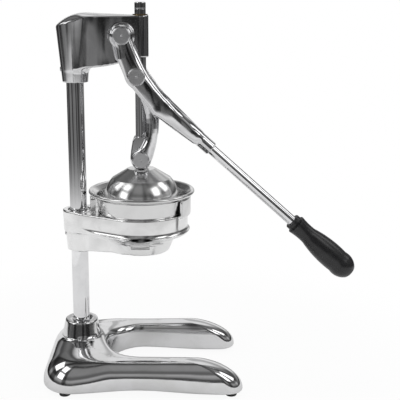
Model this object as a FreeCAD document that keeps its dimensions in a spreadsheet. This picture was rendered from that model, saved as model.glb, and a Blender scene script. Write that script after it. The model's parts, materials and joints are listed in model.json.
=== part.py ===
import FreeCAD, Part
import math
import os
import re
import Sketcher
from FreeCAD import Placement, Rotation, Vector

# Lever citrus juice press, in millimetres.
# Origin: on the table, under the axis of the ram, the bowl and the glass.
# +X points to the handle, +Y away from the viewer, +Z up.

doc = FreeCAD.newDocument("citrus_press")
sheet = doc.addObject("Spreadsheet::Sheet", "Sizes")

sizes = {
    # clearances
    "fit_gap": 0.05,
    "seat_gap": 0.1,
    "side_gap": 0.3,
    # column and its bolt
    "column_offset": 71,
    "column_radius": 9.5,
    "column_foot": 22,
    "column_top": 390,
    "column_chamfer": 1,
    "bolt_radius": 4,
    "bolt_depth": 22,
    "bolt_head_radius": 7,
    "bolt_head_height": 6,
    "bolt_washer_radius": 10.5,
    "bolt_washer_height": 2,
    "bolt_seat_height": 6,
    "bolt_clearance": 0.4,
    "bolt_runout": 1,
    "bolt_well_gap": 1,
    "key_radius": 2.6,
    "key_depth": 2.5,
    # base casting
    "base_rear": 111,
    "base_tip": 112,
    "base_half_width": 76,
    "base_floor_gap": 4,
    "base_crown": 39,
    "base_widest": 14,
    "base_foot_round": 3,
    "base_side_round": 17.5,
    "base_rear_round": 39,
    "base_tip_round": 74,
    "gap_half_width": 42,
    "gap_centre": 2,
    "rear_corner": 37,
    "inner_round": 16,
    "inner_round_start": 0.5,
    "pocket_wall": 10,
    "pocket_height": 15,
    "socket_top": 64,
    "socket_top_radius": 18.4,
    "socket_foot_radius": 24,
    "socket_foot_height": 38,
    "socket_chamfer": 2.5,
    "column_boss_wall": 4,
    "column_boss_cover": 4,
    "foot_boss_wall": 2,
    # feet
    "foot_radius": 6.6,
    "foot_rear": 84,
    "foot_front": 99,
    "foot_half_span": 65,
    "foot_chamfer": 0.8,
    "foot_screw_radius": 2,
    "foot_screw_length": 11,
    "foot_screw_head_radius": 3.5,
    "foot_screw_head_height": 1.8,
    "foot_screw_recess": 1.4,
    # head casting
    "head_top": 407,
    "head_crest": 409.1,
    "crest_offset": 58,
    "crest_bend": 43,
    "crest_crown": 32,
    "head_foot": 336,
    "head_web_foot": 352,
    "head_web_rise": 11,
    "web_start": 0.6,
    "web_corner": 3,
    "web_bend": 150,
    "web_end": 10.56,
    "head_flat": 12.3,
    "head_rear_radius": 20,
    "head_rear_foot_radius": 13.4,
    "sleeve_radius": 8.8,
    "sleeve_foot": 363.5,
    "pad_radius": 14,
    # ram and its bushes
    "ram_radius": 6,
    "ram_top": 420,
    "ram_stud_radius": 4,
    "ram_chamfer": 1.2,
    "ring_height": 413,
    "ring_depth": 0.5,
    "ring_width": 1.4,
    "bush_wall": 1.3,
    "bush_length": 14,
    "bush_lip": 0.6,
    "bush_lip_radius": 8.2,
    # pivots
    "pivot_offset": 18.7,
    "pivot_height": 385.6,
    "crank_length": 44.8,
    "crank_angle": 19.6,
    "low_pivot_height": 253.4,
    "pin_radius": 6,
    "low_pin_radius": 5,
    "pin_head_radius": 9.4,
    "pin_head_height": 3.2,
    "pin_head_chamfer": 0.8,
    "pin_tail": 3.2,
    "clip_radius": 8.4,
    "clip_width": 1.5,
    "clip_depth": 0.7,
    "dimple_radius": 1.2,
    "dimple_depth": 0.8,
    # lever casting
    "fork_inner": 18,
    "fork_outer": 26,
    "eye_radius": 11.6,
    "crank_shoulder": 9.5,
    "elbow_radius": 11.2,
    "arm_radius": 11.4,
    "arm_drop": 74.6,
    "arm_reach": 41,
    "crotch_start": 24,
    "crotch_end": 47,
    "crotch_half_width": 5,
    "neck_radius": 8.4,
    "neck_drop": 108.4,
    "neck_reach": 79.6,
    "neck_half_width": 8.6,
    "neck_level": 250,
    "socket_radius": 7.8,
    "socket_length": 22,
    "handle_angle": 41.7,
    "rod_seat": 20,
    "socket_overlap": 3,
    "taper_lead": 4,
    # handle rod and grip
    "rod_radius": 5.8,
    "rod_reach": 219,
    "rod_chamfer": 1,
    "grip_start": 145.4,
    "grip_length": 93,
    "grip_ring_radius": 9.1,
    "grip_ring_length": 4.5,
    "grip_chamfer": 0.8,
    "grip_groove_radius": 8.2,
    "grip_groove_width": 1.6,
    "grip_neck_radius": 11.1,
    "grip_waist_radius": 10.2,
    "grip_waist_at": 26,
    "grip_waist_bend": 90,
    "grip_belly_radius": 14,
    "grip_belly_at": 72,
    "grip_belly_bend": 19.6,
    "grip_end_radius": 8.7,
    "grip_end_rise": 2.4,
    # link
    "link_inner": 10.5,
    "link_outer": 17.5,
    "link_eye_radius": 10.4,
    "link_low_radius": 11.6,
    "bow_reach": 12.2,
    "bow_height": 45.6,
    "bow_radius": 8,
    "knee_reach": 9.5,
    "knee_height": 23.6,
    "knee_radius": 8.8,
    "bridge_clearance": 2,
    "bridge_foot": 27,
    "bridge_top": 62,
    "link_bush_wall": 1.6,
    # crosshead
    "block_half_width": 12,
    "block_top_half_width": 9.4,
    "block_top": 277,
    "block_shoulder": 6,
    "block_foot_half_width": 6,
    "block_side": 3,
    "stud_length": 16,
    # pressing dome
    "dome_seat_radius": 15,
    "dome_top": 241.4,
    "dome_crease_radius": 32.6,
    "dome_crease_height": 230.6,
    "dome_shoulder_radius": 41.6,
    "dome_shoulder_height": 211,
    "dome_radius": 43.4,
    "dome_foot": 196,
    "dome_curve": 34,
    "dome_wall": 3.2,
    "dome_crease_wall": 1.92,
    "dome_seat_inset": 1,
    "dome_bolt_radius": 4,
    "dome_bolt_length": 6,
    "dome_bolt_head_radius": 6.5,
    "dome_bolt_head_height": 4,
    "dome_washer_radius": 9,
    "dome_washer_height": 1.5,
    # bowl
    "rim_radius": 59,
    "rim_roll": 2.1,
    "rim_height": 216,
    "bowl_wall": 1.3,
    "bowl_neck_radius": 51.3,
    "bowl_ledge": 3,
    "bowl_foot_radius": 43.6,
    "bowl_foot_height": 182,
    "bowl_corner": 12,
    "bowl_corner_bend": 16,
    "bowl_floor_rise": 2,
    "outlet_top_radius": 26,
    "outlet_top_height": 167.5,
    "outlet_radius": 15,
    "outlet_rim_height": 163,
    "outlet_foot": 150.5,
    # strainer with its reamer
    "strainer_height": 187.5,
    "strainer_lip": 5,
    "strainer_wall": 1.2,
    "reamer_foot_radius": 30,
    "reamer_top": 226,
    "reamer_tip_radius": 8,
    "reamer_tip_drop": 5,
    "strainer_hole_radius": 1.6,
    "strainer_hole_circle": 36,
    "strainer_hole_count": 24,
    "flute_count": 10,
    "flute_thickness": 2,
    "flute_height": 2.4,
    "flute_tip_height": 1.44,
    # bowl carrier
    "carrier_top": 194,
    "carrier_foot": 148.5,
    "band_radius": 51.6,
    "band_foot": 171,
    "carrier_boss_radius": 16.5,
    "carrier_boss_foot_radius": 13.6,
    "ring_bore": 48.6,
    "step_foot": 163.5,
    "step_radius": 37,
    "step_inset": 1.5,
    "seat_rise": 3,
    "seat_lip": 1,
    "rib_overlap": 2,
    "collar_foot_radius": 31,
    "collar_bore": 27,
    "tab_top": 211,
    "tab_bore": 52.1,
    "tab_radius": 54.9,
    "tab_foot": 191,
    "tab_near_radius": 57.8,
    "tab_angle": 36,
    "tab_near_angle": 14,
    "rib_boss_half": 11,
    "rib_ring_half": 24,
    "window_left": 11,
    "window_right": 9,
    "window_foot": 157.5,
    "window_top": 163,
    "recess_radius": 12,
    "recess_depth": 2.2,
    # set screws
    "set_screw_radius": 2.5,
    "set_screw_proud": 0.9,
    "set_screw_key": 1.3,
    "set_screw_key_depth": 2,
    "head_screw_height": 350,
    "carrier_screw_top": 180,
    "carrier_screw_foot": 167,
}

for row, (name, value) in enumerate(sizes.items(), start=1):
    sheet.set(f"A{row}", name)
    sheet.set(f"B{row}", str(value))
    sheet.setAlias(f"B{row}", name)
doc.recompute()

parts = {}


def link(text):
    """Turn the names in an expression into references to the sheet."""
    return re.sub(r"[a-z]+(?:_[a-z]+)+", lambda m: "Sizes." + m.group(0), text)


def num(text):
    return float(sheet.evalExpression(link(text)))


def at(obj, x="0", y="0", z="0", axis=None, angle="0"):
    """Place an object by expressions, turned about an axis."""
    obj.Placement = Placement(Vector(0, 0, 0), Rotation(axis or Vector(0, 0, 1), num(angle)))
    for letter, text in zip("xyz", (x, y, z)):
        obj.setExpression("Placement.Base." + letter, link(text))
    if axis:
        obj.setExpression("Placement.Rotation.Angle", link(angle))
    return obj


def keep(obj, name):
    """Register a finished piece under the name of its file."""
    obj.Label = name
    parts[name] = obj
    return obj


def make(kind, name, **props):
    """Add a Part object; text values become expressions."""
    obj = doc.addObject(kind, name)
    for key, value in props.items():
        if isinstance(value, str):
            obj.setExpression(key, link(value))
        else:
            setattr(obj, key, value)
    return obj


def cylinder(name, radius, height, x="0", y="0", z="0", axis=None, angle="0"):
    return at(make("Part::Cylinder", name, Radius=radius, Height=height), x, y, z, axis, angle)


def cone(name, foot, top, height, x="0", y="0", z="0"):
    return at(make("Part::Cone", name, Radius1=foot, Radius2=top, Height=height), x, y, z)


def box(name, length, width, height, x, y, z):
    return at(make("Part::Box", name, Length=length, Width=width, Height=height), x, y, z)


def cross_pin(name, radius, front, back, x, z):
    """A cylinder along +Y from front to back."""
    return cylinder(name, radius, f"({back}) - ({front})", x, front, z, Vector(1, 0, 0), "-90")


def fuse(name, *shapes):
    return make("Part::MultiFuse", name, Shapes=list(shapes), Refine=True)


def common(name, *shapes):
    return make("Part::MultiCommon", name, Shapes=list(shapes), Refine=True)


def cut(name, base, *tools):
    tool = tools[0] if len(tools) == 1 else fuse(name + "_tools", *tools)
    return make("Part::Cut", name, Base=base, Tool=tool, Refine=True)


def fix(sketch, geo, pos, x, y):
    """Hold one end of an edge at x, y; both are expressions."""
    for kind, axis, text in (("DistanceX", -2, x), ("DistanceY", -1, y)):
        if text == "0":
            sketch.addConstraint(Sketcher.Constraint("PointOnObject", geo, pos, axis))
        else:
            index = sketch.addConstraint(Sketcher.Constraint(kind, -1, 1, geo, pos, num(text)))
            sketch.setExpression(f"Constraints[{index}]", link(text))


def cap(radius, rise):
    """Radius of a ball cap over a circle, so that its arc meets the axis squarely."""
    return f"(({radius}) ^ 2 + ({rise}) ^ 2) / (2 * ({rise}))"


def arc_between(start, end, radius):
    """Arc from start to end; a positive radius turns left, a negative one right."""
    chord = end - start
    half = chord.Length / 2
    size = abs(radius)
    rise = math.sqrt(max(size * size - half * half, 0.0))
    side = Vector(-chord.y, chord.x, 0).normalize()
    centre = start + chord * 0.5 + side * math.copysign(rise, radius)
    first, last = (start, end) if radius > 0 else (end, start)
    a0 = math.atan2(first.y - centre.y, first.x - centre.x)
    a1 = math.atan2(last.y - centre.y, last.x - centre.x)
    if a1 <= a0:
        a1 += 2 * math.pi
    circle = Part.Circle(centre, Vector(0, 0, 1), size)
    return Part.ArcOfCircle(circle, a0, a1)


def draw(sketch, corners):
    """Closed outline. A corner is (x, y) or (x, y, radius of the arc to the next)."""
    points = [Vector(num(c[0]), num(c[1]), 0) for c in corners]
    ends = []
    for i, corner in enumerate(corners):
        start, end = points[i], points[(i + 1) % len(points)]
        if len(corner) == 2:
            geo = sketch.addGeometry(Part.LineSegment(start, end))
            ends.append((geo, 1, 2))
        else:
            bend = num(corner[2])
            geo = sketch.addGeometry(arc_between(start, end, bend))
            index = sketch.addConstraint(Sketcher.Constraint("Radius", geo, abs(bend)))
            sketch.setExpression(f"Constraints[{index}]", f"abs({link(corner[2])})")
            ends.append((geo, 1, 2) if bend > 0 else (geo, 2, 1))
    for i, corner in enumerate(corners):
        geo, first, last = ends[i]
        after = ends[(i + 1) % len(ends)]
        sketch.addConstraint(Sketcher.Constraint("Coincident", geo, last, after[0], after[1]))
        fix(sketch, geo, first, corner[0], corner[1])
    return sketch


def draw_capsule(sketch, x1, y1, r1, x2, y2, r2):
    """Two circles and the two lines that touch both."""
    c1 = Vector(num(x1), num(y1), 0)
    c2 = Vector(num(x2), num(y2), 0)
    s1, s2 = num(r1), num(r2)
    along = c2 - c1
    heading = math.atan2(along.y, along.x)
    lean = math.acos((s1 - s2) / along.Length)

    def touch(centre, size, side):
        angle = heading + side * lean
        return centre + Vector(math.cos(angle), math.sin(angle), 0) * size

    flat = Vector(0, 0, 1)
    a, b = heading + lean, heading - lean
    big = sketch.addGeometry(Part.ArcOfCircle(Part.Circle(c1, flat, s1), a, b + 2 * math.pi))
    small = sketch.addGeometry(Part.ArcOfCircle(Part.Circle(c2, flat, s2), b, a))
    right = sketch.addGeometry(Part.LineSegment(touch(c1, s1, -1), touch(c2, s2, -1)))
    left = sketch.addGeometry(Part.LineSegment(touch(c2, s2, 1), touch(c1, s1, 1)))
    for pair in ((big, 2, right, 1), (right, 2, small, 1), (small, 2, left, 1), (left, 2, big, 1)):
        sketch.addConstraint(Sketcher.Constraint("Tangent", *pair))
    for geo, x, y, size in ((big, x1, y1, r1), (small, x2, y2, r2)):
        fix(sketch, geo, 3, x, y)
        index = sketch.addConstraint(Sketcher.Constraint("Radius", geo, num(size)))
        sketch.setExpression(f"Constraints[{index}]", link(size))
    return sketch


def side_sketch(name):
    """A sketch in the X-Z plane, seen from the front."""
    sketch = doc.addObject("Sketcher::SketchObject", name)
    sketch.Placement = Placement(Vector(0, 0, 0), Rotation(Vector(1, 0, 0), 90))
    return sketch


def plan_sketch(name):
    return doc.addObject("Sketcher::SketchObject", name)


def side_solid(name, sketch, front, back):
    """Extrude a side sketch along Y from front to back."""
    obj = make("Part::Extrusion", name, Base=sketch, Solid=True)
    obj.DirMode = "Custom"
    obj.Dir = Vector(0, 1, 0)
    obj.setExpression("LengthFwd", link(back))
    obj.setExpression("LengthRev", link(f"-({front})"))
    return obj


def plan_solid(name, sketch, foot, top):
    """Extrude a plan sketch upwards from foot to top."""
    obj = make("Part::Extrusion", name, Base=sketch, Solid=True)
    obj.DirMode = "Custom"
    obj.Dir = Vector(0, 0, 1)
    obj.setExpression("LengthFwd", link(top))
    obj.setExpression("LengthRev", link(f"-({foot})"))
    return obj


def side_capsule(name, a, b, front, back):
    sketch = draw_capsule(side_sketch(name + "_outline"), *a, *b)
    return side_solid(name, sketch, front, back)


def plan_capsule(name, a, b, foot, top):
    sketch = draw_capsule(plan_sketch(name + "_outline"), *a, *b)
    return plan_solid(name, sketch, foot, top)


def origin_plane(body, role):
    for feature in body.Origin.OriginFeatures:
        if feature.Role == role:
            return feature


def turned(name, corners, x="0", y="0", z="0", axis=None, angle="0"):
    """A body of revolution about its own Z axis, from its half section."""
    body = doc.addObject("PartDesign::Body", name)
    sketch = body.newObject("Sketcher::SketchObject", name + "_section")
    sketch.AttachmentSupport = [(origin_plane(body, "XZ_Plane"), "")]
    sketch.MapMode = "FlatFace"
    draw(sketch, corners)
    turn = body.newObject("PartDesign::Revolution", name + "_turn")
    turn.Profile = sketch
    turn.ReferenceAxis = (sketch, ["V_Axis"])
    turn.Angle = 360
    sketch.Visibility = False
    return at(body, x, y, z, axis, angle)


# How far a cutting shape runs past the metal, and how deep a joined shape sits in it.
past = 1

# Places used by more than one piece.
column_x = "-column_offset"
pivot_x = "-pivot_offset"
elbow_x = "-pivot_offset + crank_length * sin(crank_angle)"
elbow_z = "pivot_height - crank_length * cos(crank_angle)"
arm_x = "arm_reach - pivot_offset"
arm_z = "pivot_height - arm_drop"
neck_x = "neck_reach - pivot_offset"
neck_z = "pivot_height - neck_drop"
pad_reach = "fork_inner - side_gap"
bush_outer = "ram_radius + fit_gap + bush_wall"
bowl_neck_height = "tab_top + side_gap"
bowl_slope = f"(bowl_neck_radius - bowl_foot_radius) / ({bowl_neck_height} - bowl_foot_height)"
column_bore = "column_radius + fit_gap"
across = (f"-fork_outer - {past}", f"fork_outer + {past}")


def bulge(share, power):
    """How far a rounded edge has turned in, from 0 at its start to 1 at its end."""
    return 1 - (1 - share ** power) ** (1 / power)


def horseshoe(name, outer, inner, rear, tip, level="0"):
    """Plan outline of the base at one level, from its half-widths and its two ends."""
    corner = f"({outer} - base_half_width + rear_corner)"
    half_leg = f"(({outer}) - ({inner})) / 2"
    leg = f"(({outer}) + ({inner})) / 2"
    tip_x = f"{tip} - {half_leg}"
    sketch = draw(plan_sketch(name), [
        (rear, f"{corner} - ({outer})", corner),
        (f"{rear} + {corner}", f"-({outer})"),
        (tip_x, f"-({outer})", half_leg),
        (tip, f"-{leg}", half_leg),
        (tip_x, f"-({inner})"),
        ("gap_centre", f"-({inner})", f"-({inner})"),
        (f"gap_centre - ({inner})", "0", f"-({inner})"),
        ("gap_centre", inner),
        (tip_x, inner, half_leg),
        (tip, leg, half_leg),
        (tip_x, outer),
        (f"{rear} + {corner}", outer, corner),
        (rear, f"{outer} - {corner}"),
    ])
    sketch.setExpression("Placement.Base.z", link(level))
    return sketch


# The roundings over a leg meet at most in its middle.
leg_share = "min(1; (base_half_width - gap_half_width) / (base_side_round + inner_round + fit_gap))"


def base_level(index, share):
    """Outline at a share of the height above the widest level, or below it when negative."""
    if share < 0:
        turn = bulge(-share, 2)
        level = f"base_widest + (base_widest - base_floor_gap) * {share}"
        return horseshoe(f"base_level_{index}", f"base_half_width - base_foot_round * {turn}",
                         "gap_half_width", f"-base_rear + base_foot_round * {turn}",
                         f"base_tip - base_foot_round * {turn}", level)
    level = f"base_widest + (base_crown - base_widest) * {share}"
    start = num("inner_round_start")
    inside = bulge(max(0, share - start) / (1 - start), 2.2)
    outside = bulge(share, 2)
    return horseshoe(f"base_level_{index}", f"base_half_width - base_side_round * {leg_share} * {outside}",
                     f"gap_half_width + inner_round * {leg_share} * {inside}",
                     f"-base_rear + base_rear_round * {bulge(share, 2.2)}",
                     f"base_tip - base_tip_round * {bulge(share, 2)}", level)


feet = {
    "foot_near_rear": ("-foot_rear", "-foot_half_span"),
    "foot_far_rear": ("-foot_rear", "foot_half_span"),
    "foot_near_front": ("foot_front", "-foot_half_span"),
    "foot_far_front": ("foot_front", "foot_half_span"),
}


def make_base():
    shares = (-1, -0.6, 0, 0.35, 0.6, 0.78, 0.9, 0.97, 0.995)
    levels = [base_level(index, share) for index, share in enumerate(shares)]
    body = make("Part::Loft", "base_body", Sections=levels, Solid=True, Ruled=False)
    inside = horseshoe("base_pocket_outline", "base_half_width - pocket_wall", "gap_half_width + pocket_wall",
                       "-base_rear + pocket_wall", "base_tip - pocket_wall")
    pocket = plan_solid("base_pocket", inside, "0", "pocket_height")
    hollow = cut("base_hollow", body, pocket)
    height = "socket_top - socket_foot_height"
    boss = cone("column_socket", "socket_foot_radius", "socket_top_radius", height, column_x, "0",
                "socket_foot_height")
    bosses = [boss]
    height = "base_crown - base_floor_gap - column_boss_cover"
    bosses.append(cylinder("column_boss", "socket_top_radius + column_boss_wall", height, column_x, "0",
                           "base_floor_gap"))
    for name, (x, y) in feet.items():
        bosses.append(cylinder(name + "_boss", "foot_radius + foot_boss_wall",
                               f"pocket_height - base_floor_gap + {past}", x, y, "base_floor_gap"))
    whole = fuse("base_whole", hollow, *bosses)
    tools = [
        cylinder("socket_bore", column_bore, "socket_top", column_x, "0", "column_foot"),
        cone("socket_mouth", column_bore, "column_radius + fit_gap + socket_chamfer", "socket_chamfer",
             column_x, "0", "socket_top - socket_chamfer"),
        cylinder("bolt_bore", "bolt_radius + bolt_clearance", "column_foot", column_x, "0", "base_floor_gap"),
        cylinder("bolt_well", "bolt_washer_radius + bolt_well_gap", "column_foot - bolt_seat_height",
                 column_x),
    ]
    for name, (x, y) in feet.items():
        tools.append(cylinder(name + "_bore", "foot_screw_radius + fit_gap", "foot_screw_length",
                              x, y, "foot_screw_recess"))
    keep(cut("base_cut", whole, *tools), "base")


def make_feet():
    head_top = "foot_screw_recess + foot_screw_head_height"
    shank = "foot_screw_radius + fit_gap"
    well = "foot_screw_head_radius + seat_gap"
    screws = []
    for name, (x, y) in feet.items():
        foot = turned(name + "_turned", [
            (well, "0"),
            ("foot_radius - foot_chamfer", "0"),
            ("foot_radius", "foot_chamfer"),
            ("foot_radius", "base_floor_gap"),
            (shank, "base_floor_gap"),
            (shank, head_top),
            (well, head_top),
        ], x, y)
        keep(foot, name)
        screw = turned(name + "_screw", [
            ("0", "foot_screw_recess"),
            ("foot_screw_head_radius", "foot_screw_recess"),
            ("foot_screw_head_radius", head_top),
            ("foot_screw_radius", head_top),
            ("foot_screw_radius", "foot_screw_recess + foot_screw_length - seat_gap"),
            ("0", "foot_screw_recess + foot_screw_length - seat_gap"),
        ], x, y)
        screws.append(screw)
    keep(make("Part::Compound", "foot_screw_group", Links=screws), "foot_screws")


def make_column():
    thread = "bolt_radius + fit_gap"
    depth = "column_foot + bolt_depth + bolt_runout"
    column = turned("column_turned", [
        (thread, "column_foot"),
        ("column_radius", "column_foot"),
        ("column_radius", "column_top - column_chamfer"),
        ("column_radius - column_chamfer", "column_top"),
        ("0", "column_top"),
        ("0", depth),
        (thread, depth),
    ], column_x)
    keep(column, "column")
    seat = "column_foot - bolt_seat_height"
    washer_foot = f"{seat} - bolt_washer_height"
    head_foot = f"{washer_foot} - bolt_head_height"
    washer = turned("column_washer_turned", [
        ("bolt_radius + seat_gap", washer_foot),
        ("bolt_washer_radius", washer_foot),
        ("bolt_washer_radius", seat),
        ("bolt_radius + seat_gap", seat),
    ], column_x)
    keep(washer, "column_washer")
    bolt = turned("column_bolt_turned", [
        ("key_radius", head_foot),
        ("bolt_head_radius", head_foot),
        ("bolt_head_radius", washer_foot),
        ("bolt_radius", washer_foot),
        ("bolt_radius", "column_foot + bolt_depth"),
        ("0", "column_foot + bolt_depth"),
        ("0", f"{head_foot} + key_depth"),
        ("key_radius", f"{head_foot} + key_depth"),
    ], column_x)
    keep(bolt, "column_bolt")


def make_head():
    rear = f"column_offset + head_rear_radius + {past}"
    run = f"({rear} - crest_offset)"
    crest_end = f"head_crest - crest_bend + sqrt(crest_bend ^ 2 - {run} ^ 2)"
    height = "head_crest - head_foot"
    boss = cone("head_boss", "head_rear_foot_radius", "head_rear_radius", height, column_x, "0", "head_foot")
    sleeve = cylinder("head_sleeve", "sleeve_radius", "head_crest - sleeve_foot", "0", "0", "sleeve_foot")
    low = draw_capsule(plan_sketch("web_low"), "0", "0", "sleeve_radius", column_x, "0",
                       "head_rear_foot_radius")
    low.setExpression("Placement.Base.z", link("head_foot"))
    high = draw_capsule(plan_sketch("web_high"), "0", "0", "sleeve_radius", column_x, "0",
                        "head_rear_radius")
    high.setExpression("Placement.Base.z", link("head_crest"))
    web = make("Part::Loft", "web_loft", Sections=[low, high], Solid=True, Ruled=True)
    boss_front = "-column_offset + head_rear_foot_radius"
    below = f"head_foot - {past}"
    side = draw(side_sketch("head_side"), [
        (f"-({rear})", below),
        (f"{boss_front} + web_start", below),
        (f"{boss_front} + web_corner", "head_web_foot", "-web_bend"),
        ("-web_end", "head_web_foot + head_web_rise"),
        ("-sleeve_radius", "sleeve_foot"),
        (f"sleeve_radius + {past}", "sleeve_foot"),
        (f"sleeve_radius + {past}", "head_top"),
        ("-head_flat", "head_top"),
        ("-crest_offset", "head_crest", "crest_bend"),
        (f"-({rear})", crest_end),
    ])
    reach = f"head_rear_radius + {past}"
    side_plate = side_solid("head_side_plate", side, f"-({reach})", reach)
    length = f"{rear} + sleeve_radius + {past}"
    crown = cylinder("head_crown", "crest_crown", length, f"-({rear})", "0", "head_crest - crest_crown",
                     Vector(0, 1, 0), "90")
    skirt = box("head_skirt", length, "2 * crest_crown", f"head_crest - crest_crown - ({below})",
                f"-({rear})", "-crest_crown", below)
    shell = common("head_shell", side_plate, fuse("head_arch", crown, skirt))
    web_part = common("head_web", fuse("head_mass", boss, sleeve, web), shell)
    pads = cross_pin("pivot_pads", "pad_radius", f"-({pad_reach})", pad_reach, pivot_x, "pivot_height")
    whole = fuse("head_whole", web_part, pads)
    bore_top = "column_top + seat_gap"
    tools = [
        cylinder("head_column_bore", column_bore, f"{bore_top} - ({below})", column_x, "0", below),
        cylinder("head_ram_bore", f"{bush_outer} + fit_gap", f"head_top - sleeve_foot + 2 * {past}", "0", "0",
                 f"sleeve_foot - {past}"),
        cross_pin("head_pivot_bore", "pin_radius + fit_gap", *across, pivot_x, "pivot_height"),
        cylinder("head_screw_bore", "set_screw_radius + fit_gap", f"head_rear_radius + {past}",
                 column_x, "0", "head_screw_height", Vector(0, 1, 0), "-90"),
    ]
    keep(cut("head_cut", whole, *tools), "head")


def set_screw(name, x_out, z):
    """A headless screw from the column outwards, with a key socket at its back end."""
    length = f"{x_out} - column_radius - fit_gap"
    return turned(name, [
        ("0", "0"),
        ("set_screw_radius", "0"),
        ("set_screw_radius", length),
        ("set_screw_key", length),
        ("set_screw_key", f"{length} - set_screw_key_depth"),
        ("0", f"{length} - set_screw_key_depth"),
    ], "-column_offset - column_radius - fit_gap", "0", z, Vector(0, 1, 0), "-90")


def boss_radius(foot_radius, top_radius, foot, top, z):
    """Radius of a cone at height z, as an expression."""
    return f"({foot_radius} + ({top_radius} - {foot_radius}) * ({z} - {foot}) / ({top} - {foot}))"


def make_set_screws():
    out = boss_radius("head_rear_foot_radius", "head_rear_radius", "head_foot", "head_top",
                      "head_screw_height") + " + set_screw_proud"
    keep(set_screw("head_screw_turned", out, "head_screw_height"), "head_set_screw")
    screws = []
    for name in ("carrier_screw_top", "carrier_screw_foot"):
        out = boss_radius("carrier_boss_foot_radius", "carrier_boss_radius", "carrier_foot", "carrier_top",
                          name) + " + set_screw_proud"
        screws.append(set_screw(name + "_turned", out, name))
    keep(make("Part::Compound", "carrier_screw_group", Links=screws), "carrier_set_screws")


def make_bushes():
    inner = "ram_radius + fit_gap"
    foot = turned("lower_bush_turned", [
        (inner, "-bush_lip"),
        ("bush_lip_radius", "-bush_lip"),
        ("bush_lip_radius", "0"),
        (bush_outer, "0"),
        (bush_outer, "bush_length"),
        (inner, "bush_length"),
    ], "0", "0", "sleeve_foot")
    keep(foot, "lower_ram_bush")
    top = turned("upper_bush_turned", [
        (inner, "-bush_length"),
        (bush_outer, "-bush_length"),
        (bush_outer, "0"),
        ("bush_lip_radius", "0"),
        ("bush_lip_radius", "bush_lip"),
        (inner, "bush_lip"),
    ], "0", "0", "head_top")
    keep(top, "upper_ram_bush")


def make_bowl():
    inner_neck = "bowl_neck_radius - bowl_wall"
    bowl = turned("bowl_turned", [
        ("outlet_radius - bowl_wall", "outlet_foot"),
        ("outlet_radius", "outlet_foot"),
        ("outlet_radius", "outlet_rim_height"),
        ("outlet_top_radius", "outlet_top_height"),
        ("bowl_foot_radius - bowl_corner", "outlet_top_height + bowl_floor_rise", "bowl_corner_bend"),
        ("bowl_foot_radius", "bowl_foot_height"),
        ("bowl_neck_radius", bowl_neck_height),
        ("bowl_neck_radius + bowl_ledge", bowl_neck_height),
        ("rim_radius - rim_roll", "rim_height - rim_roll", "rim_roll"),
        ("rim_radius - rim_roll", "rim_height + rim_roll"),
        ("rim_radius - 2 * rim_roll", "rim_height + rim_roll / 3"),
        (inner_neck, f"{bowl_neck_height} + bowl_wall"),
        ("bowl_foot_radius - bowl_wall", "bowl_foot_height", "-(bowl_corner_bend - bowl_wall)"),
        ("bowl_foot_radius - bowl_corner", "outlet_top_height + bowl_floor_rise + bowl_wall"),
        ("outlet_top_radius", "outlet_top_height + bowl_wall"),
        ("outlet_radius - bowl_wall", "outlet_rim_height + bowl_wall"),
    ])
    keep(bowl, "bowl")


def polar(body, feature, count):
    """Repeat a feature round the body's Z axis."""
    doc.recompute()
    pattern = body.newObject("PartDesign::PolarPattern", feature.Name + "_ring")
    pattern.Originals = [feature]
    axis = next(f for f in body.Origin.OriginFeatures if f.Role == "Z_Axis")
    pattern.Axis = (axis, [""])
    pattern.Angle = 360
    pattern.setExpression("Occurrences", link(count))
    body.Tip = pattern
    return pattern


def make_strainer():
    rise = "(strainer_height - bowl_foot_height)"
    radius = f"(bowl_foot_radius - bowl_wall - seat_gap + {bowl_slope} * {rise})"
    lip = f"{radius} + {bowl_slope} * strainer_lip"
    plate_top = "strainer_height + strainer_wall"
    tip = "reamer_top - reamer_tip_drop"
    body = turned("strainer_turned", [
        ("reamer_foot_radius - strainer_wall", "strainer_height"),
        (radius, "strainer_height"),
        (lip, "strainer_height + strainer_lip"),
        (f"{lip} - strainer_wall", "strainer_height + strainer_lip"),
        (f"{radius} - strainer_wall", plate_top),
        ("reamer_foot_radius", plate_top),
        ("reamer_tip_radius", tip, cap("reamer_tip_radius", "reamer_tip_drop")),
        ("0", "reamer_top"),
        ("0", "reamer_top - 2 * strainer_wall"),
        ("reamer_tip_radius - strainer_wall", f"{tip} - strainer_wall"),
    ])
    section = body.newObject("Sketcher::SketchObject", "flute_section")
    section.AttachmentSupport = [(origin_plane(body, "XZ_Plane"), "")]
    section.MapMode = "FlatFace"
    draw(section, [
        (f"reamer_foot_radius - {past}", plate_top),
        ("reamer_foot_radius + flute_height", plate_top),
        ("reamer_tip_radius + flute_tip_height", tip),
        (f"reamer_tip_radius - {past}", tip),
    ])
    flute = body.newObject("PartDesign::Pad", "flute")
    flute.Profile = section
    flute.Midplane = True
    flute.setExpression("Length", "Sizes.flute_thickness")
    polar(body, flute, "flute_count")
    outline = body.newObject("Sketcher::SketchObject", "hole_outline")
    outline.AttachmentSupport = [(origin_plane(body, "XY_Plane"), "")]
    outline.MapMode = "FlatFace"
    outline.setExpression("AttachmentOffset.Base.z", link(f"{plate_top} + {past}"))
    centre = Vector(num("strainer_hole_circle"), 0, 0)
    circle = Part.Circle(centre, Vector(0, 0, 1), num("strainer_hole_radius"))
    geo = outline.addGeometry(circle)
    fix(outline, geo, 3, "strainer_hole_circle", "0")
    index = outline.addConstraint(Sketcher.Constraint("Radius", geo, num("strainer_hole_radius")))
    outline.setExpression(f"Constraints[{index}]", "Sizes.strainer_hole_radius")
    hole = body.newObject("PartDesign::Pocket", "hole")
    hole.Profile = outline
    hole.setExpression("Length", link(f"strainer_wall + 2 * {past}"))
    polar(body, hole, "strainer_hole_count")
    keep(body, "strainer")


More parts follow.
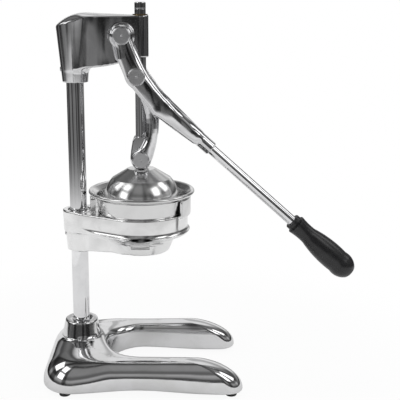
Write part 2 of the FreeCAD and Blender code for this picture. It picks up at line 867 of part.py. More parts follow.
def ring_sector(name, inner, outer, half_angle, foot, top, middle):
    """Part of a ring, centred on the heading in degrees called middle."""
    tube = make("Part::Cylinder", name + "_outer", Radius=outer, Height=f"({top}) - ({foot})",
                Angle=f"2 * {half_angle}")
    core = make("Part::Cylinder", name + "_inner", Radius=inner, Height=f"({top}) - ({foot})",
                Angle="360")
    sector = cut(name, tube, core)
    return at(sector, "0", "0", foot, Vector(0, 0, 1), f"{middle} - {half_angle}")


def make_carrier():
    ring = ("0", "0", "band_radius")
    boss = (column_x, "0", "carrier_boss_radius")
    band = plan_capsule("carrier_band", ring, boss, "band_foot", "carrier_top")
    post = cone("carrier_post", "carrier_boss_foot_radius", "carrier_boss_radius",
                "carrier_top - carrier_foot", column_x, "0", "carrier_foot")
    step = cone("carrier_step", "step_radius", "band_radius - step_inset", "band_foot - step_foot", "0", "0",
                "step_foot")
    collar = cone("carrier_collar", "collar_foot_radius", "step_radius", "step_foot - carrier_foot",
                  "0", "0", "carrier_foot")
    rib_plan = draw(plan_sketch("carrier_rib_outline"), [
        (column_x, "-rib_boss_half"),
        ("0", "-rib_ring_half"),
        ("0", "rib_ring_half"),
        (column_x, "rib_boss_half"),
    ])
    rib = plan_solid("carrier_rib", rib_plan, "carrier_foot", "band_foot + rib_overlap")
    far_tab = ring_sector("carrier_far_tab", "ring_bore", "tab_radius", "tab_angle",
                          "tab_foot", "tab_top", "0")
    near_tab = ring_sector("carrier_near_tab", "ring_bore", "tab_near_radius", "tab_near_angle",
                           "tab_foot", "tab_top", "180")
    whole = fuse("carrier_whole", band, post, step, collar, rib, far_tab, near_tab)
    mouth = "carrier_top - recess_depth"
    seat_foot, seat_top = "step_foot + seat_lip", "band_foot + seat_rise"
    below, height = f"carrier_foot - {past}", f"tab_top - carrier_foot + 2 * {past}"
    tools = [
        cylinder("carrier_ring_bore", "ring_bore", height, "0", "0", seat_top),
        cylinder("carrier_tab_bore", "tab_bore", height, "0", "0", "carrier_top"),
        cone("carrier_seat", "collar_bore", "ring_bore", f"{seat_top} - ({seat_foot})", "0", "0", seat_foot),
        cylinder("carrier_collar_bore", "collar_bore", f"{seat_top} - ({below})", "0", "0", below),
        cylinder("carrier_column_bore", column_bore, height, column_x, "0", below),
        cylinder("carrier_recess", "recess_radius", f"recess_depth + {past}", column_x, "0", mouth),
        box("carrier_window", "window_left + window_right", "band_radius", "window_top - window_foot",
            "-window_left", "-band_radius", "window_foot"),
    ]
    for name, z in (("upper", "carrier_screw_top"), ("lower", "carrier_screw_foot")):
        tools.append(cylinder(f"carrier_{name}_screw_bore", "set_screw_radius + fit_gap",
                              f"carrier_boss_radius + {past}", column_x, "0", z, Vector(0, 1, 0), "-90"))
    keep(cut("carrier_cut", whole, *tools), "bowl_carrier")


def make_ram():
    groove = "ram_radius - ring_depth"
    ram = turned("ram_turned", [
        ("0", "block_top - stud_length"),
        ("ram_stud_radius", "block_top - stud_length"),
        ("ram_stud_radius", "block_top"),
        ("ram_radius", "block_top"),
        ("ram_radius", "ring_height - ring_width / 2"),
        (groove, "ring_height - ring_width / 2"),
        (groove, "ring_height + ring_width / 2"),
        ("ram_radius", "ring_height + ring_width / 2"),
        ("ram_radius", "ram_top - ram_chamfer"),
        ("ram_radius - ram_chamfer", "ram_top"),
        ("0", "ram_top"),
    ])
    keep(ram, "ram")
    inner, outer = f"{groove} + fit_gap", "ram_radius - fit_gap / 2"
    ring = turned("ram_ring_turned", [
        (inner, "ring_height - ring_width / 2 + fit_gap"),
        (outer, "ring_height - ring_width / 2 + fit_gap"),
        (outer, "ring_height + ring_width / 2 - fit_gap"),
        (inner, "ring_height + ring_width / 2 - fit_gap"),
    ])
    keep(ring, "ram_ring")
    side = draw(side_sketch("block_outline"), [
        ("-block_foot_half_width", "dome_top"),
        ("block_foot_half_width", "dome_top"),
        ("block_half_width", "low_pivot_height - block_side"),
        ("block_half_width", "low_pivot_height + block_side"),
        ("block_top_half_width", "block_top - block_shoulder", "block_shoulder"),
        ("ram_radius", "block_top"),
        ("-ram_radius", "block_top", "block_shoulder"),
        ("-block_top_half_width", "block_top - block_shoulder"),
        ("-block_half_width", "low_pivot_height + block_side"),
        ("-block_half_width", "low_pivot_height - block_side"),
    ])
    reach = "link_inner - side_gap"
    block = side_solid("block_mass", side, f"-({reach})", reach)
    tools = [
        cylinder("block_stud_bore", "ram_stud_radius + fit_gap", f"stud_length + seat_gap + {past}", "0", "0",
                 "block_top - stud_length - seat_gap"),
        cylinder("block_bolt_bore", "dome_bolt_radius + fit_gap",
                 f"dome_bolt_length + seat_gap + {past}", "0", "0", f"dome_top - {past}"),
        cross_pin("block_pin_bore", "low_pin_radius + fit_gap", *across, "0", "low_pivot_height"),
    ]
    keep(cut("block_cut", block, *tools), "crosshead")


def make_dome():
    inside = "dome_top - dome_wall"
    dome = turned("dome_turned", [
        ("dome_bolt_radius + seat_gap", "dome_top"),
        ("dome_bolt_radius + seat_gap", inside),
        ("dome_seat_radius - dome_seat_inset", inside),
        ("dome_crease_radius - dome_crease_wall", "dome_crease_height - dome_wall",
         "-(dome_curve - dome_wall)"),
        ("dome_shoulder_radius - dome_wall", "dome_shoulder_height"),
        ("dome_radius - dome_wall", "dome_foot"),
        ("dome_radius", "dome_foot"),
        ("dome_shoulder_radius", "dome_shoulder_height", "dome_curve"),
        ("dome_crease_radius", "dome_crease_height"),
        ("dome_seat_radius", "dome_top"),
    ])
    keep(dome, "pressing_dome")
    washer_foot = f"{inside} - dome_washer_height"
    washer = turned("dome_washer_turned", [
        ("dome_bolt_radius + seat_gap", washer_foot),
        ("dome_washer_radius", washer_foot),
        ("dome_washer_radius", inside),
        ("dome_bolt_radius + seat_gap", inside),
    ])
    keep(washer, "dome_washer")
    head_foot = f"{washer_foot} - dome_bolt_head_height"
    bolt = turned("dome_bolt_turned", [
        ("key_radius", head_foot),
        ("dome_bolt_head_radius", head_foot),
        ("dome_bolt_head_radius", washer_foot),
        ("dome_bolt_radius", washer_foot),
        ("dome_bolt_radius", "dome_top + dome_bolt_length"),
        ("0", "dome_top + dome_bolt_length"),
        ("0", f"{head_foot} + key_depth"),
        ("key_radius", f"{head_foot} + key_depth"),
    ])
    keep(bolt, "dome_bolt")


def pivot_pin(name, radius, length, x, z, y, tail=None, turn="90"):
    """A headed pin along Y. Its head lies outside y and its shank runs inwards for the length."""
    end = f"({length})"
    shank = [("0", f"-{end}"), (radius, f"-{end}")]
    if tail:
        groove = f"{radius} - clip_depth"
        low, high = f"-({tail} + clip_width)", f"-({tail})"
        shank = [("0", f"-{end}"), (radius, f"-{end}"), (radius, low), (groove, low), (groove, high),
                 (radius, high)]
    outline = shank + [
        (radius, "0"),
        ("pin_head_radius", "0"),
        ("pin_head_radius", "pin_head_height - pin_head_chamfer"),
        ("pin_head_radius - pin_head_chamfer", "pin_head_height"),
        ("dimple_radius", "pin_head_height", f"-{cap('dimple_radius', 'dimple_depth')}"),
        ("0", "pin_head_height - dimple_depth"),
    ]
    return turned(name, outline, x, y, z, Vector(1, 0, 0), turn)


def clip(name, radius, x, y, z):
    """A retaining ring in the groove of a pin, from y towards the back."""
    inner = f"{radius} - clip_depth + fit_gap"
    return turned(name, [
        (inner, "fit_gap - clip_width"),
        ("clip_radius", "fit_gap - clip_width"),
        ("clip_radius", "-fit_gap"),
        (inner, "-fit_gap"),
    ], x, y, z, Vector(1, 0, 0), "90")


def make_lever():
    elbow = (elbow_x, elbow_z, "elbow_radius")
    arm = (arm_x, arm_z, "arm_radius")
    neck = (neck_x, neck_z, "neck_radius")
    outer = ("-fork_outer", "fork_outer")
    shoulder = (pivot_x, "pivot_height", "crank_shoulder")
    crank = side_capsule("lever_crank", elbow, shoulder, *outer)
    boss = cross_pin("lever_eye", "eye_radius", *outer, pivot_x, "pivot_height")
    upper = side_capsule("lever_upper", arm, elbow, *outer)
    lower = side_capsule("lever_lower", arm, neck, *outer)
    spread = draw(plan_sketch("lever_plan_outline"), [
        (f"{pivot_x} - 2 * eye_radius", "-fork_outer"),
        ("crotch_start - taper_lead", "-fork_outer"),
        (neck_x, "-neck_half_width"),
        (f"{neck_x} + 3 * neck_radius", "-neck_half_width"),
        (f"{neck_x} + 3 * neck_radius", "neck_half_width"),
        (neck_x, "neck_half_width"),
        ("crotch_start - taper_lead", "fork_outer"),
        (f"{pivot_x} - 2 * eye_radius", "fork_outer"),
    ])
    plan = plan_solid("lever_plan", spread, "neck_level", "pivot_height + 3 * eye_radius")
    mass = common("lever_mass", fuse("lever_chain", crank, boss, upper, lower), plan)
    throat = draw(plan_sketch("lever_throat_outline"), [
        (f"{pivot_x} - 3 * eye_radius", "-fork_inner"),
        ("crotch_start", "-fork_inner"),
        ("crotch_end", "-crotch_half_width", "crotch_half_width"),
        ("crotch_end + crotch_half_width", "0", "crotch_half_width"),
        ("crotch_end", "crotch_half_width"),
        ("crotch_start", "fork_inner"),
        (f"{pivot_x} - 3 * eye_radius", "fork_inner"),
    ])
    slot = plan_solid("lever_throat", throat, "neck_level", "pivot_height + 3 * eye_radius")
    fork = cut("lever_fork", mass, slot)
    socket = cylinder("lever_socket", "socket_radius", "socket_length + socket_overlap",
                      f"{neck_x} - socket_overlap * cos(handle_angle)", "0",
                      f"{neck_z} + socket_overlap * sin(handle_angle)", Vector(0, 1, 0), "90 + handle_angle")
    whole = fuse("lever_whole", fork, socket)
    start = "(socket_length - rod_seat)"
    tools = [
        cylinder("lever_rod_bore", "rod_radius + fit_gap", f"rod_seat + {past}",
                 f"{neck_x} + {start} * cos(handle_angle)", "0", f"{neck_z} - {start} * sin(handle_angle)",
                 Vector(0, 1, 0), "90 + handle_angle"),
        cross_pin("lever_eye_bore", "pin_radius + fit_gap", *across, pivot_x, "pivot_height"),
        cross_pin("lever_elbow_bore", "pin_radius + fit_gap", *across, elbow_x, elbow_z),
    ]
    keep(cut("lever_cut", whole, *tools), "lever")


def along_handle(distance):
    """Place at a distance from the neck along the handle axis, as expressions."""
    return f"{neck_x} + ({distance}) * cos(handle_angle)", f"{neck_z} - ({distance}) * sin(handle_angle)"


def make_handle():
    start = "socket_length - rod_seat + seat_gap"
    x, z = along_handle(start)
    length = f"rod_reach - ({start})"
    rod = turned("handle_rod_turned", [
        ("0", "0"),
        ("rod_radius", "0"),
        ("rod_radius", f"{length} - rod_chamfer"),
        ("rod_radius - rod_chamfer", length),
        ("0", length),
    ], x, "0", z, Vector(0, 1, 0), "90 + handle_angle")
    keep(rod, "handle_rod")
    x, z = along_handle("grip_start")
    bore = "rod_radius + fit_gap"
    depth = "rod_reach - grip_start + seat_gap"
    groove = "grip_ring_length + grip_groove_width"
    grip = turned("grip_turned", [
        (bore, "0"),
        ("grip_ring_radius - grip_chamfer", "0"),
        ("grip_ring_radius", "grip_chamfer"),
        ("grip_ring_radius", "grip_ring_length"),
        ("grip_groove_radius", "grip_ring_length"),
        ("grip_groove_radius", groove),
        ("grip_neck_radius", f"{groove} + grip_chamfer"),
        ("grip_waist_radius", "grip_waist_at", "grip_waist_bend"),
        ("grip_belly_radius", "grip_belly_at", "grip_belly_bend"),
        ("grip_end_radius", "grip_length - grip_end_rise", cap("grip_end_radius", "grip_end_rise")),
        ("0", "grip_length"),
        ("0", depth),
        (bore, depth),
    ], x, "0", z, Vector(0, 1, 0), "90 + handle_angle")
    keep(grip, "grip")


def make_pins():
    span = "2 * fork_outer"
    pin = pivot_pin("upper_pin_turned", "pin_radius", f"{span} + pin_tail", pivot_x, "pivot_height",
                    "-fork_outer", f"{span} + seat_gap")
    keep(pin, "upper_pin")
    keep(clip("upper_clip_turned", "pin_radius", pivot_x, "fork_outer + seat_gap", "pivot_height"),
         "upper_clip")
    shank = "fork_outer - fork_inner - seat_gap"
    keep(pivot_pin("near_stub_turned", "pin_radius", shank, elbow_x, elbow_z, "-fork_outer"), "near_stub_pin")
    keep(pivot_pin("far_stub_turned", "pin_radius", shank, elbow_x, elbow_z, "fork_outer", None, "-90"),
         "far_stub_pin")
    span = "2 * link_outer"
    pin = pivot_pin("lower_pin_turned", "low_pin_radius", f"{span} + pin_tail", "0", "low_pivot_height",
                    "-link_outer", f"{span} + seat_gap")
    keep(pin, "lower_pin")
    keep(clip("lower_clip_turned", "low_pin_radius", "0", "link_outer + seat_gap", "low_pivot_height"),
         "lower_clip")


def make_link():
    eye = (elbow_x, elbow_z, "link_eye_radius")
    bow = ("bow_reach", "low_pivot_height + bow_height", "bow_radius")
    knee = ("knee_reach", "low_pivot_height + knee_height", "knee_radius")
    low = ("0", "low_pivot_height", "link_low_radius")
    outer = ("-link_outer", "link_outer")
    chain = [
        side_capsule("link_upper", eye, bow, *outer),
        side_capsule("link_middle", knee, bow, *outer),
        side_capsule("link_lower", low, knee, *outer),
    ]
    mass = fuse("link_mass", *chain)
    width = "2 * link_inner"
    reach = "3 * link_low_radius"
    edge = "ram_radius + bridge_clearance"
    level = "low_pivot_height - 2 * link_low_radius"
    bush = "pin_radius + fit_gap + link_bush_wall"
    height = f"pivot_height - ({level})"
    corner = (f"-({reach})", "-link_inner")
    tools = [
        box("link_slot_side", f"{reach} + {edge}", width, height, *corner, level),
        box("link_slot_foot", f"2 * {reach}", width, "bridge_foot + 2 * link_low_radius", *corner, level),
        box("link_slot_top", f"2 * {reach}", width, height, *corner, "low_pivot_height + bridge_top"),
        cross_pin("link_eye_bore", f"{bush} + fit_gap", *across, elbow_x, elbow_z),
        cross_pin("link_low_bore", "low_pin_radius + fit_gap", *across, "0", "low_pivot_height"),
    ]
    keep(cut("link_cut", mass, *tools), "link")
    for name, y in (("near_link_bush", "-link_inner"), ("far_link_bush", "link_outer")):
        ring = turned(name + "_turned", [
            ("pin_radius + fit_gap", "0"),
            (bush, "0"),
            (bush, "link_outer - link_inner"),
            ("pin_radius + fit_gap", "link_outer - link_inner"),
        ], elbow_x, y, elbow_z, Vector(1, 0, 0), "90")
        keep(ring, name)


for build in (make_base, make_feet, make_column, make_head, make_set_screws, make_bushes, make_bowl,
              make_strainer, make_carrier, make_ram, make_dome, make_lever, make_handle, make_pins,
              make_link):
    build()
doc.recompute()

failed = [obj.Name for obj in doc.Objects if {"Invalid", "Error"} & set(obj.State)]
failed += [name for name, obj in parts.items()
           if obj.Shape.isNull() or not obj.Shape.isValid() or not obj.Shape.Solids]
if failed:
    raise RuntimeError("not built: " + ", ".join(failed))

os.makedirs("parts", exist_ok=True)
for name, obj in parts.items():
    obj.Shape.exportStep(f"parts/{name}.step")
    print(f"{name:20s} {len(obj.Shape.Solids)} solid, {obj.Shape.Volume / 1000:8.2f} cm3")
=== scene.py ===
import json
import math

import bpy
import numpy as np
from mathutils import Matrix, Vector


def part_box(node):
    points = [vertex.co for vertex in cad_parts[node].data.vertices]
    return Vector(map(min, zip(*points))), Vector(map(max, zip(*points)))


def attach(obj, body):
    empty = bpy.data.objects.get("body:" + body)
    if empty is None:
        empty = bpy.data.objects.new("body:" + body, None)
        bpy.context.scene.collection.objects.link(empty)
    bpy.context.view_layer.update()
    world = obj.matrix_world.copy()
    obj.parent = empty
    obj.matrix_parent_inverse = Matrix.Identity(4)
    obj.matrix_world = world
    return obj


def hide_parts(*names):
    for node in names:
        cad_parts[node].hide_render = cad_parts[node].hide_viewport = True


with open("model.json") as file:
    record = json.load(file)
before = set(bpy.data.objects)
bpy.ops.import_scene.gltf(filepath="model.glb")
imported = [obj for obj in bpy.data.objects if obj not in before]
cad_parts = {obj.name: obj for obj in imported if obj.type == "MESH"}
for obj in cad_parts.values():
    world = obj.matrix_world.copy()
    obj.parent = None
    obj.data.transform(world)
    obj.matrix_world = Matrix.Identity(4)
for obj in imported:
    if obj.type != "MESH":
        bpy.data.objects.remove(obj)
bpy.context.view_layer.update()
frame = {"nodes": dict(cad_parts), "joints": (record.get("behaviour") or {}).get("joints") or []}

# Lever citrus press: castings, turned parts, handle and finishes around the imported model.
# Pieces are in millimetres until a mesh is made; bump distances, studio, lamps and camera are in metres.
metre = 1000.0
print("frame loaded:", len(frame["nodes"]), "nodes")


def lowest(node):
    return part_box(node)[0] * metre


def highest(node):
    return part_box(node)[1] * metre


def middle(node):
    return (lowest(node) + highest(node)) / 2


joints = {joint["name"]: joint for joint in frame["joints"]}
pivot = Vector(joints["lever_swing"]["pos_m"]) * metre
lowPivot = Vector(joints["link_swing"]["pos_m"]) * metre
elbow = middle("near_stub_pin")
columnX = middle("column").x
columnRadius = highest("column").y
pinRadius, lowPinRadius = 6, 5
clearance = 0.05  # between a bore and what it holds
feet = ("foot_near_rear", "foot_far_rear", "foot_near_front", "foot_far_front")


# Shader node groups, each built once and used with its own values.
def addNode(tree, kind, **values):
    node = tree.nodes.new(kind)
    for key, value in values.items():
        if key in node.inputs:
            node.inputs[key].default_value = value
        else:
            setattr(node, key, value)
    return node


def newGroup(name, inputs, outputs):
    tree = bpy.data.node_groups.new(name, "ShaderNodeTree")
    for label, kind, value in inputs:
        socket = tree.interface.new_socket(label, in_out="INPUT", socket_type=kind)
        if value is not None:
            socket.default_value = value
    for label, kind in outputs:
        tree.interface.new_socket(label, in_out="OUTPUT", socket_type=kind)
    return tree, tree.nodes.new("NodeGroupInput"), tree.nodes.new("NodeGroupOutput")


def math2(tree, operation, first, second=0.0):
    node = tree.nodes.new("ShaderNodeMath")
    node.operation = operation
    for socket, value in zip(node.inputs, (first, second)):
        if isinstance(value, (int, float)):
            socket.default_value = value
        else:
            tree.links.new(value, socket)
    return node.outputs[0]


def makeHandling():
    # Faint smudges and cloudy patches that handling leaves on bright metal.
    tree, given, out = newGroup(
        "handlingMarks",
        [("Vector", "NodeSocketVector", None), ("Scale", "NodeSocketFloat", 30.0)],
        [("Mask", "NodeSocketFloat")])
    noise = addNode(tree, "ShaderNodeTexNoise", Detail=3.0, Roughness=0.6, Distortion=0.4)
    ramp = addNode(tree, "ShaderNodeMapRange", interpolation_type="SMOOTHSTEP")
    ramp.inputs["From Min"].default_value = 0.38
    ramp.inputs["From Max"].default_value = 0.68
    tree.links.new(given.outputs["Vector"], noise.inputs["Vector"])
    tree.links.new(given.outputs["Scale"], noise.inputs["Scale"])
    tree.links.new(noise.outputs["Fac"], ramp.inputs["Value"])
    tree.links.new(ramp.outputs["Result"], out.inputs["Mask"])
    return tree


def makeHairlines():
    # Fine scratches drawn out along one direction of the given vector.
    tree, given, out = newGroup(
        "hairlines",
        [("Vector", "NodeSocketVector", None), ("Scale", "NodeSocketFloat", 400.0),
         ("Stretch", "NodeSocketVector", (1.0, 1.0, 0.03))],
        [("Height", "NodeSocketFloat")])
    stretch = addNode(tree, "ShaderNodeVectorMath", operation="MULTIPLY")
    fine = addNode(tree, "ShaderNodeTexNoise", Detail=2.0, Roughness=0.7)
    tree.links.new(given.outputs["Vector"], stretch.inputs[0])
    tree.links.new(given.outputs["Stretch"], stretch.inputs[1])
    tree.links.new(stretch.outputs[0], fine.inputs["Vector"])
    tree.links.new(given.outputs["Scale"], fine.inputs["Scale"])
    tree.links.new(fine.outputs["Fac"], out.inputs["Height"])
    return tree


def makeTurning():
    # Rings round the local Z axis, as a lathe or a spinning chuck leaves them.
    tree, given, out = newGroup(
        "turningRings",
        [("Vector", "NodeSocketVector", None), ("Pitch", "NodeSocketFloat", 900.0),
         ("Climb", "NodeSocketFloat", 1.0)],
        [("Height", "NodeSocketFloat")])
    split = addNode(tree, "ShaderNodeSeparateXYZ")
    tree.links.new(given.outputs["Vector"], split.inputs[0])
    square = math2(tree, "MULTIPLY", split.outputs["X"], split.outputs["X"])
    other = math2(tree, "MULTIPLY", split.outputs["Y"], split.outputs["Y"])
    radius = math2(tree, "SQRT", math2(tree, "ADD", square, other))
    climb = math2(tree, "MULTIPLY", split.outputs["Z"], given.outputs["Climb"])
    travel = math2(tree, "MULTIPLY", math2(tree, "ADD", radius, climb), given.outputs["Pitch"])
    noise = addNode(tree, "ShaderNodeTexNoise", noise_dimensions="1D", Detail=3.0, Roughness=0.65)
    noise.inputs["Scale"].default_value = 1.0
    tree.links.new(travel, noise.inputs["W"])
    tree.links.new(noise.outputs["Fac"], out.inputs["Height"])
    return tree


groups = {"handling": makeHandling(), "hairlines": makeHairlines(), "turning": makeTurning()}
print("shader groups made:", len(groups))


# Materials. A finish is one dictionary; place and turn centre its rings on the piece.
def newMaterial(name, finish, place=(0, 0, 0), turn=(0, 0, 0)):
    material = bpy.data.materials.new(name)
    material.use_nodes = True
    tree = material.node_tree
    shader = tree.nodes["Principled BSDF"]
    shader.inputs["Metallic"].default_value = finish["metallic"]
    coords = addNode(tree, "ShaderNodeTexCoord")
    mapping = addNode(tree, "ShaderNodeMapping", vector_type="TEXTURE", Location=place, Rotation=turn)
    tree.links.new(coords.outputs["Object"], mapping.inputs["Vector"])

    def group(key, **values):
        node = tree.nodes.new("ShaderNodeGroup")
        node.node_tree = groups[key]
        for label, value in values.items():
            node.inputs[label].default_value = value
        tree.links.new(mapping.outputs["Vector"], node.inputs["Vector"])
        return node.outputs[0]

    smudge = group("handling", Scale=finish["smudgeScale"])
    rough = addNode(tree, "ShaderNodeMapRange")
    rough.inputs["To Min"].default_value = finish["roughness"][0]
    rough.inputs["To Max"].default_value = finish["roughness"][1]
    tree.links.new(smudge, rough.inputs["Value"])
    tree.links.new(rough.outputs["Result"], shader.inputs["Roughness"])
    tint = addNode(tree, "ShaderNodeMix", data_type="RGBA")
    tint.inputs[6].default_value = (*finish["colour"], 1)
    tint.inputs[7].default_value = (*finish["dull"], 1)
    tree.links.new(smudge, tint.inputs[0])
    tree.links.new(tint.outputs[2], shader.inputs["Base Color"])
    bumps = [(group(key, **values), strength, distance)
             for key, values, strength, distance in finish["relief"]]
    if "grain" in finish:
        grain = finish["grain"]
        stretch = addNode(tree, "ShaderNodeVectorMath", operation="MULTIPLY")
        stretch.inputs[1].default_value = grain["stretch"]
        cloud = addNode(tree, "ShaderNodeTexNoise", Detail=1.5, Scale=grain["scale"])
        tree.links.new(mapping.outputs["Vector"], stretch.inputs[0])
        tree.links.new(stretch.outputs[0], cloud.inputs["Vector"])
        bumps.append((cloud.outputs["Fac"], grain["strength"], grain["distance"]))
    normal = shader.inputs["Normal"]
    for height, strength, distance in reversed(bumps):
        bump = addNode(tree, "ShaderNodeBump", Strength=strength, Distance=distance)
        tree.links.new(height, bump.inputs["Height"])
        tree.links.new(bump.outputs["Normal"], normal)
        normal = bump.inputs["Normal"]
    return material


# A relief is a group, its values, and the bump's strength and distance.
fineScratches = ("hairlines", {"Scale": 700.0, "Stretch": (1.0, 1.0, 0.08)}, 0.05, 0.00002)
smallTurning = ("turning", {"Pitch": 2200.0, "Climb": 0.6}, 0.12, 0.00003)
finishes = {
    "polished": {
        "metallic": 1.0, "colour": (0.84, 0.84, 0.85), "dull": (0.78, 0.78, 0.78),
        "roughness": (0.07, 0.12), "smudgeScale": 35.0,
        "relief": [fineScratches],
        "grain": {"scale": 20.0, "stretch": (1, 1, 1), "strength": 1.0, "distance": 0.0012},
    },
    "handWorked": {
        "metallic": 1.0, "colour": (0.76, 0.76, 0.77), "dull": (0.68, 0.68, 0.69),
        "roughness": (0.07, 0.13), "smudgeScale": 40.0,
        "relief": [fineScratches],
        "grain": {"scale": 24.0, "stretch": (1, 1, 0.3), "strength": 1.0, "distance": 0.0085},
    },
    "brightCasting": {
        "metallic": 1.0, "colour": (0.96, 0.96, 0.96), "dull": (0.93, 0.93, 0.93),
        "roughness": (0.14, 0.20), "smudgeScale": 35.0,
        "relief": [fineScratches],
        "grain": {"scale": 22.0, "stretch": (1, 1, 1), "strength": 1.0, "distance": 0.0005},
    },
    "chromed": {
        "metallic": 1.0, "colour": (0.88, 0.88, 0.89), "dull": (0.82, 0.82, 0.83),
        "roughness": (0.03, 0.06), "smudgeScale": 60.0,
        "relief": [("hairlines", {"Scale": 320.0, "Stretch": (1.0, 1.0, 0.02)}, 0.004, 0.00001)],
    },
    "spun": {
        "metallic": 1.0, "colour": (0.84, 0.84, 0.84), "dull": (0.78, 0.78, 0.78),
        "roughness": (0.18, 0.24), "smudgeScale": 30.0,
        "relief": [("turning", {"Pitch": 1400.0, "Climb": 0.8}, 0.10, 0.00003)],
    },
    "turnedFace": {
        "metallic": 1.0, "colour": (0.66, 0.66, 0.67), "dull": (0.60, 0.60, 0.61),
        "roughness": (0.28, 0.36), "smudgeScale": 120.0,
        "relief": [("turning", {"Pitch": 2600.0, "Climb": 0.6}, 0.16, 0.00003)],
    },
    "zinc": {
        "metallic": 1.0, "colour": (0.62, 0.62, 0.63), "dull": (0.52, 0.52, 0.53),
        "roughness": (0.30, 0.42), "smudgeScale": 200.0,
        "relief": [smallTurning],
    },
    "bronze": {
        "metallic": 1.0, "colour": (0.40, 0.31, 0.18), "dull": (0.30, 0.22, 0.13),
        "roughness": (0.22, 0.34), "smudgeScale": 200.0,
        "relief": [smallTurning],
    },
    "rubber": {
        "metallic": 0.0, "colour": (0.022, 0.022, 0.023), "dull": (0.035, 0.035, 0.035),
        "roughness": (0.62, 0.78), "smudgeScale": 160.0, "relief": [],
        "grain": {"scale": 1800.0, "stretch": (1, 1, 1), "strength": 0.25, "distance": 0.0001},
    },
    "gripPlastic": {
        "metallic": 0.0, "colour": (0.011, 0.011, 0.012), "dull": (0.016, 0.016, 0.017),
        "roughness": (0.24, 0.32), "smudgeScale": 50.0, "relief": [],
        "grain": {"scale": 1500.0, "stretch": (1, 1, 1), "strength": 0.12, "distance": 0.0001},
    },
}

polished = newMaterial("polished_casting", finishes["polished"])
brightCasting = newMaterial("bright_casting", finishes["brightCasting"])
handWorked = newMaterial("hand_worked_casting", finishes["handWorked"])
chromed = newMaterial("chromed_steel", finishes["chromed"])
spun = newMaterial("spun_stainless", finishes["spun"])
rubber = newMaterial("foot_rubber", finishes["rubber"])
zinc = newMaterial("zinc_screws", finishes["zinc"])
bronze = newMaterial("bush_bronze", finishes["bronze"])
gripPlastic = newMaterial("grip_plastic", finishes["gripPlastic"])
quarterTurn = math.pi / 2
pinFace = {
    name: newMaterial("pin_face_" + name, finishes["turnedFace"], tuple(spot / metre), (quarterTurn, 0, 0))
    for name, spot in (("upper", pivot), ("middle", elbow), ("lower", lowPivot))
}
print("materials made:", len(bpy.data.materials))


# Turned pieces: a rounded outline spun round the local Z axis.
outline = {
    "cornerShare": 0.48,  # of a corner's shorter side that its rounding may take up
    "arcStep": 0.2,  # turn of one step along a rounding, in radians
    "least": 1e-4,  # roundings and radii below this count as none
}


def roundCorners(corners, closed):
    # Points and outward normals of an outline through (radius, height, rounding) corners.
    spots, normals = [], []

    def add(spot, way):
        spots.append(spot)
        normals.append(Vector((way.y, -way.x)))

    last = len(corners) - 1
    for index, (u, v, size) in enumerate(corners):
        here = Vector((u, v))
        before = Vector(corners[index - 1][:2])
        after = Vector(corners[(index + 1) % len(corners)][:2])
        if not closed and index in (0, last):
            add(here, (after - here if index == 0 else here - before).normalized())
            continue
        into, out = here - before, after - here
        turn = math.atan2(into.x * out.y - into.y * out.x, into.dot(out))
        room = outline["cornerShare"] * min(into.length, out.length)
        reach = min(size * abs(math.tan(turn / 2)), room)
        into.normalize()
        out.normalize()
        if reach < outline["least"]:
            add(here, (into + out).normalized())
            continue
        bend = reach / math.tan(turn / 2)
        start = here - into * reach
        centre = start + Vector((-into.y, into.x)) * bend
        steps = max(3, round(abs(turn) / outline["arcStep"]))
        for step in range(steps + 1):
            spin = Matrix.Rotation(turn * step / steps, 2)
            add(centre + spin @ (start - centre), spin @ into)
    return spots, normals


def arcPoints(start, end, radius, steps):
    # Points inside an arc from start to end; a positive radius bends to the left.
    a, b = Vector(start), Vector(end)
    half = (b - a) / 2
    rise = math.sqrt(max(radius * radius - half.length_squared, 0))
    centre = a + half + Vector((-half.y, half.x)).normalized() * math.copysign(rise, radius)
    first, second = a - centre, b - centre
    sweep = math.atan2(first.x * second.y - first.y * second.x, first.dot(second))
    turns = [Matrix.Rotation(sweep * step / steps, 2) for step in range(1, steps)]
    return [(*(centre + turn @ first), 0) for turn in turns]


def meshFrom(name, spots, faces, normals, place=None):
    mesh = bpy.data.meshes.new(name)
    place = place or Matrix.Identity(4)
    spin = place.to_3x3()
    co = np.array(spots, float) @ np.array(spin).T + np.array(place.translation)
    mesh.from_pydata((co / metre).tolist(), [], faces)
    mesh.shade_smooth()
    mesh.normals_split_custom_set_from_vertices((np.array(normals, float) @ np.array(spin).T).tolist())
    mesh.validate(clean_customdata=False)
    return mesh


def turnedMesh(name, corners, place=None, closed=False, segments=96):
    spots, normals, faces, rings = [], [], [], []
    for spot, normal in zip(*roundCorners(corners, closed)):
        start = len(spots)
        if spot.x < outline["least"]:
            spots.append((0, 0, spot.y))
            normals.append((0, 0, math.copysign(1, normal.y)))
            rings.append([start])
            continue
        for step in range(segments):
            angle = 2 * math.pi * step / segments
            c, s = math.cos(angle), math.sin(angle)
            spots.append((spot.x * c, spot.x * s, spot.y))
            normals.append((normal.x * c, normal.x * s, normal.y))
        rings.append(list(range(start, start + segments)))
    for low, high in zip(rings, rings[1:] + (rings[:1] if closed else [])):
        for step in range(segments):
            after = (step + 1) % segments
            loop = [low[step % len(low)], low[after % len(low)],
                    high[after % len(high)], high[step % len(high)]]
            loop = list(dict.fromkeys(loop))
            if len(loop) > 2:
                faces.append(loop)
    return meshFrom(name, spots, faces, normals, place)


def along(origin, direction):
    # Local Z along the direction, local origin at the given place.
    turn = Vector(direction).to_track_quat("Z", "Y").to_matrix().to_4x4()
    return Matrix.Translation(origin) @ turn


# Castings: distance fields joined with soft fillets, then meshed on a grid.
mesher = {
    "pulls": 4,  # rounds that pull the points onto the surface
    "farthest": 0.8,  # how far a point may move from its first place, in grid steps
    "slopeReach": 0.05, "normalReach": 0.12, "least": 1e-9,
}


